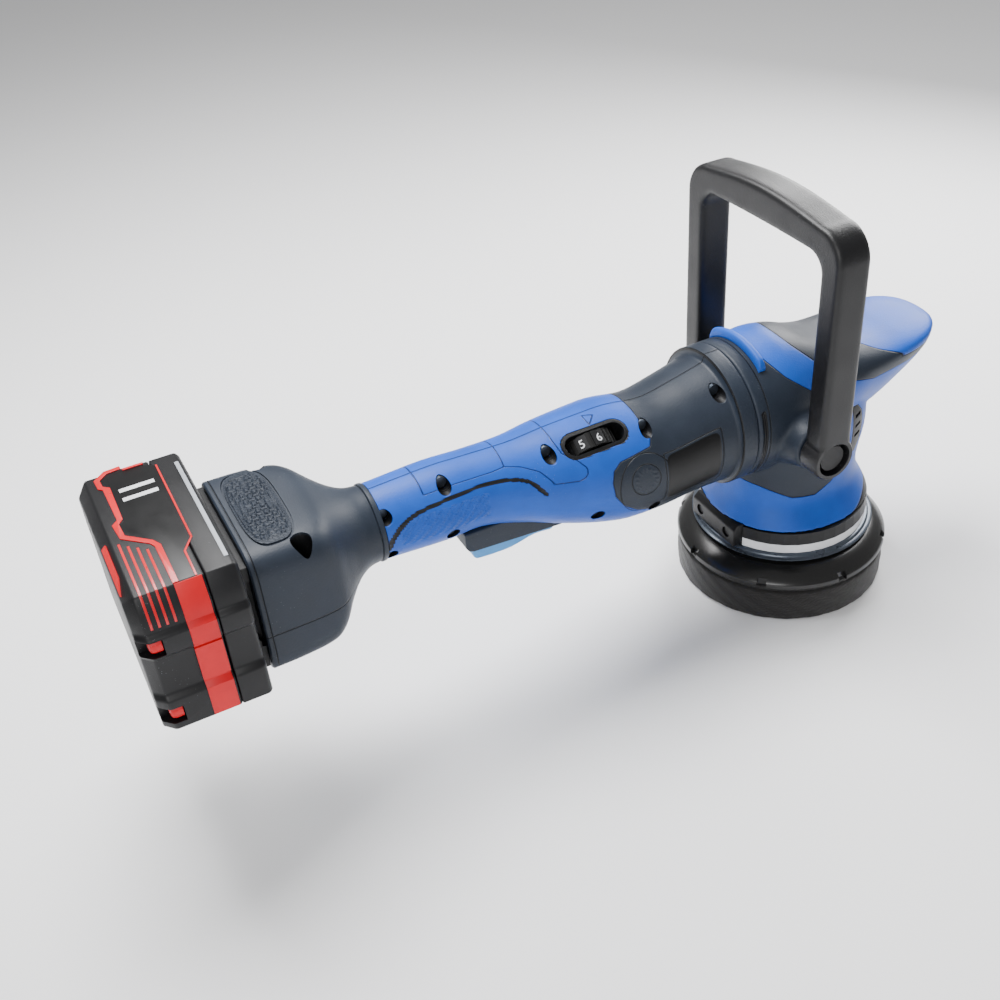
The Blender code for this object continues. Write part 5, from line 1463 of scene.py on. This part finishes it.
@dataclass
class Battery:
    """Battery pack: two shells with stepped ends, printed label, red trims and button."""
    front: float = -336.2
    split: float = -351.2
    rear: float = -387.2
    half: float = 57.5
    low: float = 97.0
    top: float = 175.5
    step: float = 2.5

    def outline(self, shrink: float = 0.0) -> list[tuple[float, float]]:
        """(y, z) corners of the pack across the tool.

        Args:
            shrink: How far the outline is drawn in.

        Returns:
            The corners.
        """
        h = self.half - shrink
        low, top = self.low + shrink, self.top - shrink
        end = [(h - 7.5, low), (h, self.low + 6.0), (h, 120.0), (h - self.step, 122.5),
            (h - self.step, 144.0),
               (h, 146.0), (h, 156.0), (h - self.step, 158.0), (h - self.step, self.top - 11.5), (h - 8.0,
                   top)]
        return end + [(-y, z) for y, z in reversed(end)]

    def build(self) -> None:
        """Make the shells and everything printed on or set into them."""
        self.shells()
        self.label()
        self.trims()
        dress(DARK_STEEL, "cell_pack")
        dress(RED, "battery_button")

    def ring(self, x: float, shrink: float) -> Array:
        """The outline at one place along the tool.

        Args:
            x: Place along the tool.
            shrink: How far the outline is drawn in.

        Returns:
            The section's points.
        """
        return np.array([(x, y, z) for y, z in self.outline(shrink)])

    def shells(self) -> None:
        """Rear and front shell with rounded edges."""
        rear = loft("pack_rear", [self.ring(self.rear, 5.0), self.ring(self.rear + 5.0, 0.0),
                                  self.ring(self.split - 0.15, 0.0)])
        round_edges(rear, 0.9)
        lens = []
        for y, z in ((-53.0, 151.0), (-53.0, 111.0)):
            lens.append(prism("lens", [(y - 5.5, z - 4.4), (y + 3.0, z - 4.4), (y + 3.0, z + 4.4),
                (y - 5.5, z + 4.4)],
                              "X", -390.0, -376.5))
        carve(rear, lens)
        finish_piece(rear, "battery", BLACK, ["battery_case_rear"])
        front = loft("pack_front", [self.ring(self.split + 0.15, 0.0), self.ring(self.front - 1.6, 0.0),
                                    self.ring(self.front, 1.8)])
        round_edges(front, 0.9)
        rail = prism("rail", [(-30.9, 117.0), (30.9, 117.0), (30.9, 147.0), (-30.9, 147.0)], "X",
            self.front - 1.0, -331.6)
        carve(front, [rail], "UNION")
        head = prism("rail_head", [(-30.9, 113.0), (30.9, 113.0), (30.9, 151.0), (-30.9, 151.0)], "X",
            -332.6, -331.0)
        carve(front, [head], "UNION")
        room = prism("room", [(44.0, 122.5), (54.0, 122.5), (54.0, 141.5), (44.0, 141.5)], "X", -347.0,
            -330.0)
        carve(front, [room])
        finish_piece(front, "battery", BLACK, ["battery_case_front"])
        for i, (y, z) in enumerate(((-52.6, 151.0), (-52.6, 111.0)), 1):
            unit = superellipse(32, 2.6)
            rings = [np.stack([np.full(32, x), y + 3.9 * unit[:, 0] * s, z + 3.8 * unit[:, 1] * s], 1)
                     for x, s in ((-377.0, 1.0), (-380.6, 1.0), (-382.2, 0.86), (-382.8, 0.55),
                         (-383.0, 0.1))]
            finish_piece(loft(f"pack_lens_{i}", rings), "battery", RED)

    def plate(self, name: str, corners: Sequence[tuple[float, float]], finish: Finish, slot: str,
              thick: float = 0.3, base: float = 0.0) -> None:
        """A thin printed shape on the pack's top.

        Args:
            name: The piece's name.
            corners: Corners of the shape in plan.
            finish: The finish.
            slot: Not used.
            thick: How far it stands above the pack.
            base: Height that it starts from above the pack.
        """
        piece = prism(name, corners, "Z", self.top - 0.2, self.top + base + thick, bevel=0.08)
        finish_piece(piece, "battery", finish)

    def ribbon(self, line: Sequence[tuple[float, float]], width: float) -> list[tuple[float, float]]:
        """Outline of a band of even width along a line.

        Args:
            line: The line's corners.
            width: Width of the band or rounding.

        Returns:
            The outline.
        """
        p = np.asarray(line, float)
        left, right = [], []
        for i in range(len(p)):
            a, b = p[max(i - 1, 0)], p[min(i + 1, len(p) - 1)]
            along = (b - a) / np.linalg.norm(b - a)
            bend = 1.0
            if 0 < i < len(p) - 1:
                u = (p[i] - a) / np.linalg.norm(p[i] - a)
                bend = 1.0 / max(0.55, float(u @ along))
            off = np.array([-along[1], along[0]]) * width / 2 * bend
            left.append(tuple(p[i] + off))
            right.append(tuple(p[i] - off))
        return left + right[::-1]

    def label(self) -> None:
        """Glossy label with its red outline and thin line."""
        face = [(-355.3, 47.6), (-348.8, 43.3), (-349.0, -21.5), (-354.3, -29.9), (-354.7, -48.9),
            (-362.7, -48.9),
                (-362.9, -18.0), (-374.9, -5.1), (-376.0, 5.7), (-373.0, 6.3), (-372.9, 35.7), (-375.4,
                    39.2),
                (-375.7, 44.6), (-371.4, 48.9), (-364.5, 49.5)]
        self.plate("label_face", face, LABEL, "gloss_black", 0.2)
        outline = [(-364.4, 50.8), (-371.9, 50.2), (-376.9, 45.4), (-376.6, 38.6), (-374.2, 36.3),
            (-374.2, 8.5),
                   (-376.9, 5.6), (-376.2, -5.3), (-365.6, -15.6), (-363.7, -19.6), (-363.5, -48.9)]
        self.plate("label_outline", self.ribbon(outline, 2.6), RED_PRINT, "red", 0.45)
        thin = [(-348.6, 43.3), (-349.0, -21.5), (-354.3, -29.9), (-354.5, -48.9)]
        self.plate("label_line", self.ribbon(thin, 0.9), RED_PRINT, "red", 0.4)
        self.plate("label_block", [(-363.9, 48.9), (-354.2, 48.9), (-354.0, 47.4), (-363.9, 47.4)], RED,
            "red", 0.6)
        for k, y in enumerate((30.0, 22.0), 1):
            bars = [(-369.4, y + 2.6), (-352.5, y + 2.6), (-352.5, y - 0.4), (-369.4, y - 0.4)]
            self.plate(f"label_bar_{k}", bars, WHITE_PRINT, "seal", 0.3)

    def wrap(self, name: str, line: Sequence[tuple[float, float]], low: float, high: float, lift: float,
             finish: Finish) -> None:
        """A strip laid over a run of the pack's outline.

        Args:
            name: The piece's name.
            line: (y, z) points on the pack's surface.
            low: Its rear edge along the tool.
            high: Its front edge.
            lift: How far it stands proud.
            finish: Its finish.
        """
        p = np.asarray(line, float)
        normals = []
        for i in range(len(p)):
            a, b = p[max(i - 1, 0)], p[min(i + 1, len(p) - 1)]
            along = (b - a) / np.linalg.norm(b - a)
            normals.append(np.array([along[1], -along[0]]))
        out = [q - n * lift for q, n in zip(p, normals)]
        if np.mean([o[0] for o in out]) * np.sign(np.mean(p[:, 0])) < abs(np.mean(p[:, 0])):
            out = [q + n * lift for q, n in zip(p, normals)]
            into = [q - n * 0.6 for q, n in zip(p, normals)]
        else:
            into = [q + n * 0.6 for q, n in zip(p, normals)]
        closed = out + into[::-1]
        strip = prism(name, [tuple(v) for v in closed], "X", low, high, bevel=0.12)
        finish_piece(strip, "battery", finish)

    def trims(self) -> None:
        """Red band, stripes, grey strip and chevron."""
        h, s = self.half, self.step
        run = [(-(h - 8.2), self.top - 0.05), (-(h - s), self.top - 11.5), (-(h - s), 158.0), (-h, 156.0),
            (-h, 146.0),
               (-(h - s), 144.0), (-(h - s), 122.5), (-h, 120.0), (-h, 103.5)]
        self.wrap("pack_band", run, -364.6, -352.4, 0.45, RED)
        far = [(y * -1, z) for y, z in run[:3]]
        self.wrap("pack_band_far", far[::-1], -364.6, -353.6, 0.45, RED)
        dress(RED, "battery_band")
        for k, (x, start) in enumerate(((-379.0, -9.4), (-375.6, -13.0), (-372.1, -16.3),
            (-368.5, -19.7)), 1):
            rear = (x - 0.55, x + 0.55)
            self.plate(f"stripe_{k}", [(rear[0], start), (rear[1], start), (rear[1], -49.4),
                (rear[0], -49.4)], RED_PRINT,
                       "red", 0.25)
            slope = [(-(h - 8.2), self.top - 0.05), (-(h - s - 0.1), self.top - 11.2), (-(h - s), 160.4)]
            self.wrap(f"stripe_end_{k}", slope, rear[0], rear[1], 0.25, RED_PRINT)
        self.plate("grey_strip", [(-340.4, 40.4), (-338.4, 40.4), (-338.4, -43.0), (-340.4, -43.0)],
            GREY_TRIM, "seal", 0.3)
        chevron = prism("pack_chevron", [(-4.5, -1.4), (-4.5, 1.4), (-30.0, 1.4), (-41.0, -1.4)], "Z",
            -0.5, 0.45)
        chevron.data.transform(Matrix.Translation((-385.2 * MM, 0,
            172.9 * MM)) @ Matrix.Rotation(math.radians(-45), 4, "Y")
                               @ Matrix.Rotation(math.radians(90), 4, "Z") @ Matrix.Scale(-1, 4,
                                   (0, 1, 0)))
        work = bmesh.new()
        work.from_mesh(chevron.data)
        bmesh.ops.recalc_face_normals(work, faces=work.faces)
        work.to_mesh(chevron.data)
        work.free()
        finish_piece(chevron, "battery", RED)


# ------------------------------------------------------------------ inside

class DriveLine:
    """Motor, gears and bearings, which keep their CAD shape."""

    def build(self) -> None:
        """Dress every hidden piece."""
        dress(STEEL, "drive_spindle", "pad_bearing", "crown_gear", "bevel_pinion", "rotor",
            "spindle_bearing_lower",
              "spindle_bearing_upper", "motor_bearing_front", "motor_bearing_rear")
        dress(DARK_STEEL, "counterweight")
        dress(ALLOY, "gear_housing")
        dress(COPPER, "stator")
        dress(BLACK, "motor_fan")


# ------------------------------------------------------------------ studio

@dataclass
class Studio:
    """Pale floor, soft lights and the camera."""
    focal: float = 44.331
    right: tuple[float, float, float] = (0.888056, -0.453927, -0.072840)
    down: tuple[float, float, float] = (-0.325732, -0.509453, -0.796465)
    ahead: tuple[float, float, float] = (0.324429, 0.731032, -0.600281)
    eye: tuple[float, float, float] = (-399.412, -475.264, 506.869)

    def build(self) -> None:
        """Make the stage."""
        self.floor()
        self.sky()
        self.lamp("key", (-250, 300, 900), 500, 18.0)
        self.lamp("front", (-700, -700, 620), 500, 5.0)
        self.lamp("rim", (500, 350, 500), 420, 8.0)
        self.camera()

    def floor(self) -> None:
        """A wide pale plane under the pad."""
        side = np.linspace(-6000, 6000, 9)
        verts = np.array([(x, y, -0.2) for y in side for x in side])
        faces = [(j * 9 + i, j * 9 + i + 1, j * 9 + i + 10,
            j * 9 + i + 9) for j in range(8) for i in range(8)]
        plane = as_object("floor", verts, faces)
        made = bpy.data.materials.new("pale_floor")
        made.use_nodes = True
        shader = made.node_tree.nodes["Principled BSDF"]
        shader.inputs["Base Color"].default_value = (0.93, 0.93, 0.94, 1.0)
        shader.inputs["Roughness"].default_value = 0.9
        plane.data.materials.append(made)

    def sky(self) -> None:
        """Even pale surroundings."""
        world = bpy.data.worlds.new("studio")
        world.use_nodes = True
        back = world.node_tree.nodes["Background"]
        back.inputs["Color"].default_value = (1.0, 1.0, 1.0, 1.0)
        back.inputs["Strength"].default_value = 0.42
        bpy.context.scene.world = world

    def lamp(self, name: str, place: tuple[float, float, float], size: float, power: float) -> None:
        """A large square lamp that faces the tool.

        Args:
            name: The piece's name.
            place: Where it stands, in millimetres.
            size: Side of the lamp in millimetres.
            power: Power in watts.
        """
        data = bpy.data.lights.new(name, "AREA")
        data.size = size * MM
        data.energy = power
        lamp = bpy.data.objects.new(name, data)
        lamp.location = Vector(place) * MM
        aim = Vector((-0.15, 0.0, 0.11)) - lamp.location
        lamp.rotation_euler = aim.to_track_quat("-Z", "Y").to_euler()
        bpy.context.scene.collection.objects.link(lamp)

    def camera(self) -> None:
        """The camera, from its own axes."""
        data = bpy.data.cameras.new("camera")
        data.sensor_width = 36.0
        data.lens = self.focal
        data.clip_start = 0.01
        data.clip_end = 50.0
        eye = bpy.data.objects.new("camera", data)
        rows = [(self.right[i], -self.down[i], -self.ahead[i], self.eye[i] * MM) for i in range(3)]
        eye.matrix_world = Matrix((*rows, (0.0, 0.0, 0.0, 1.0)))
        bpy.context.scene.collection.objects.link(eye)
        bpy.context.scene.camera = eye


def main() -> None:
    """Build every sub-assembly in order."""
    logging.basicConfig(level=logging.INFO, format="%(message)s")
    assemblies: list[tuple[str, Callable[[], None]]] = [
        ("studio", Studio().build),
        ("pad stack", PadStack().build),
        ("head", Head().build),
        ("handle", Handle().build),
        ("controls", Controls().build),
        ("bail", Bail().build),
        ("rear housing", RearHousing().build),
        ("battery", Battery().build),
        ("drive line", DriveLine().build),
    ]
    for name, build in assemblies:
        LOG.info("building %s", name)
        build()


if __name__ == "__main__":
    main()
